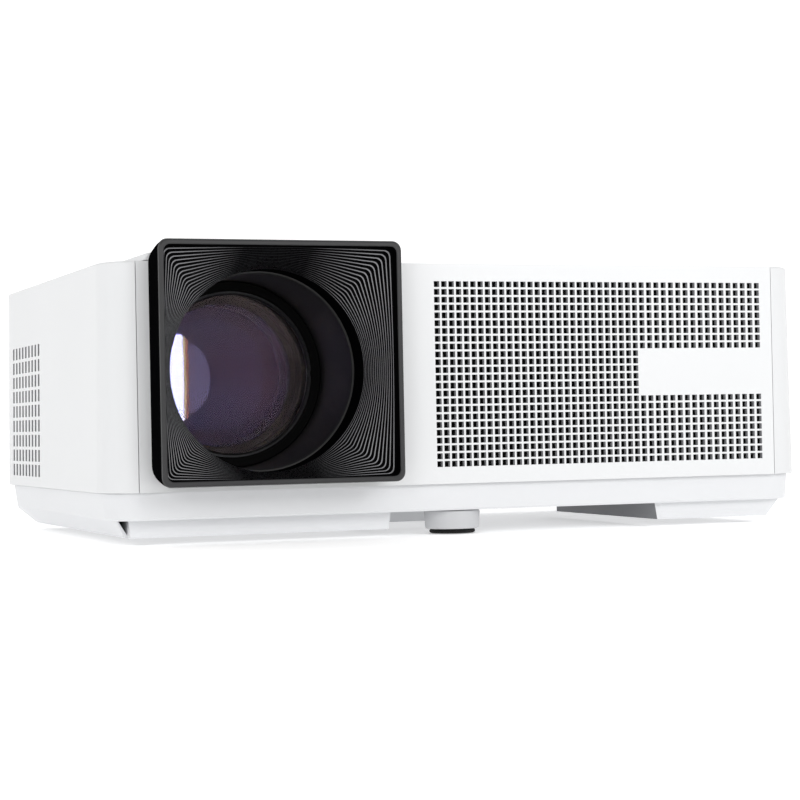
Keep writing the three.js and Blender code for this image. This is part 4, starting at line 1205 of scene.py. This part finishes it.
def soft_box(name, place, target, width, height, watts):
    lamp = bpy.data.lights.new(name, "AREA")
    lamp.shape = "RECTANGLE"
    lamp.size, lamp.size_y, lamp.energy = width, height, watts
    holder = bpy.data.objects.new(name, lamp)
    bpy.context.scene.collection.objects.link(holder)
    holder.location = place
    holder.rotation_euler = (Vector(target) - Vector(place)).to_track_quat("-Z", "Y").to_euler()
    return holder


def link_light(lamp, piece, state):
    """state INCLUDE: the lamp reaches this piece alone. EXCLUDE: it reaches all but this piece."""
    reach = bpy.data.collections.new(lamp.name + "_reach")
    reach.objects.link(piece)
    lamp.light_linking.receiver_collection = reach
    reach.collection_objects[0].light_linking.link_state = state


# The glass mirrors whatever stands before it, so it gets small cards of its own, close ahead of it.
# Each is given as metres right of and above the crescent's middle, width and height, shape, colour and
# watts per square metre. The bright one makes the white crescent at the left edge, thin warm ones its
# coloured fringe, a blue one its cool top, and a dim round one a soft disc.
CARD_X, CARD_Y, CARD_Z = -0.1315, -0.25, 0.07
GLASS_CARDS = {
    "crescent_card": (0.0, 0.0, 0.049, 0.138, "RECTANGLE", (1, 0.86, 0.72), 430),
    "yellow_card": (0.0265, 0.0, 0.004, 0.13, "RECTANGLE", (1, 0.75, 0.15), 170),
    "orange_card": (0.0305, 0.0, 0.004, 0.124, "RECTANGLE", (1, 0.3, 0.06), 100),
    "blue_card": (-0.004, 0.076, 0.04, 0.012, "RECTANGLE", (0.15, 0.3, 1), 60),
    "disc_card": (0.034, 0.0, 0.064, 0.105, "ELLIPSE", (1, 0.8, 0.62), 20),
}
for name, (right, up, width, height, shape, colour, strength) in GLASS_CARDS.items():
    x, z = CARD_X + right, CARD_Z + up
    card = soft_box(name, (x, CARD_Y, z), (x, 0, z), width, height, strength * width * height)
    card.data.shape = shape
    card.data.color = colour
    link_light(card, front_lens, "INCLUDE")
    # A card shows as a reflection only: it does not shine through the glass into the barrel.
    card.visible_transmission = False
    card.visible_diffuse = False
# The larger boxes light the casing and leave the glass dark.
front_box = soft_box("front_box", (0.1, -1.75, 0.7), (0, 0, 0.06), 0.6, 0.6, 2.6)
link_light(front_box, front_lens, "EXCLUDE")
rim_box = soft_box("rim_box", (0.7, -1.5, 0.65), (-0.09, -0.1, 0.08), 0.5, 0.5, 4)
link_light(rim_box, front_lens, "EXCLUDE")
corner_box = soft_box("corner_box", (-1.0, -1.5, 0.4), (-0.15, -0.1, 0.06), 0.4, 0.4, 3.5)
link_light(corner_box, front_lens, "EXCLUDE")

world = bpy.data.worlds.new("surround")
world.use_nodes = True
world.node_tree.nodes["Background"].inputs["Color"].default_value = (1, 1, 1, 1)
world.node_tree.nodes["Background"].inputs["Strength"].default_value = 0.76
bpy.context.scene.world = world
bpy.context.scene.view_settings.view_transform = "Standard"
bpy.context.scene.view_settings.look = "None"
print("stage is lit")

# %% Camera
CAMERA_PLACE = Vector((-0.35106, -0.92825, 0.04613))
YAW, PITCH, ROLL = 0.3638, 0.0122, 0.0200


def camera_axes():
    ahead = Vector((math.sin(YAW) * math.cos(PITCH), math.cos(YAW) * math.cos(PITCH), math.sin(PITCH)))
    right = Vector((math.cos(YAW), -math.sin(YAW), 0))
    down = ahead.cross(right)
    turned_right = right * math.cos(ROLL) + down * math.sin(ROLL)
    turned_down = down * math.cos(ROLL) - right * math.sin(ROLL)
    return turned_right, -turned_down, -ahead


lens = bpy.data.cameras.new("long_lens")
lens.sensor_width = 36
lens.lens = 95.94
lens.clip_start = 0.01
camera = bpy.data.objects.new("camera", lens)
bpy.context.scene.collection.objects.link(camera)
axes = camera_axes()
camera.matrix_world = Matrix.Translation(CAMERA_PLACE) @ Matrix(axes).transposed().to_4x4()
bpy.context.scene.camera = camera
print("camera looks along", [round(v, 3) for v in -axes[2]])
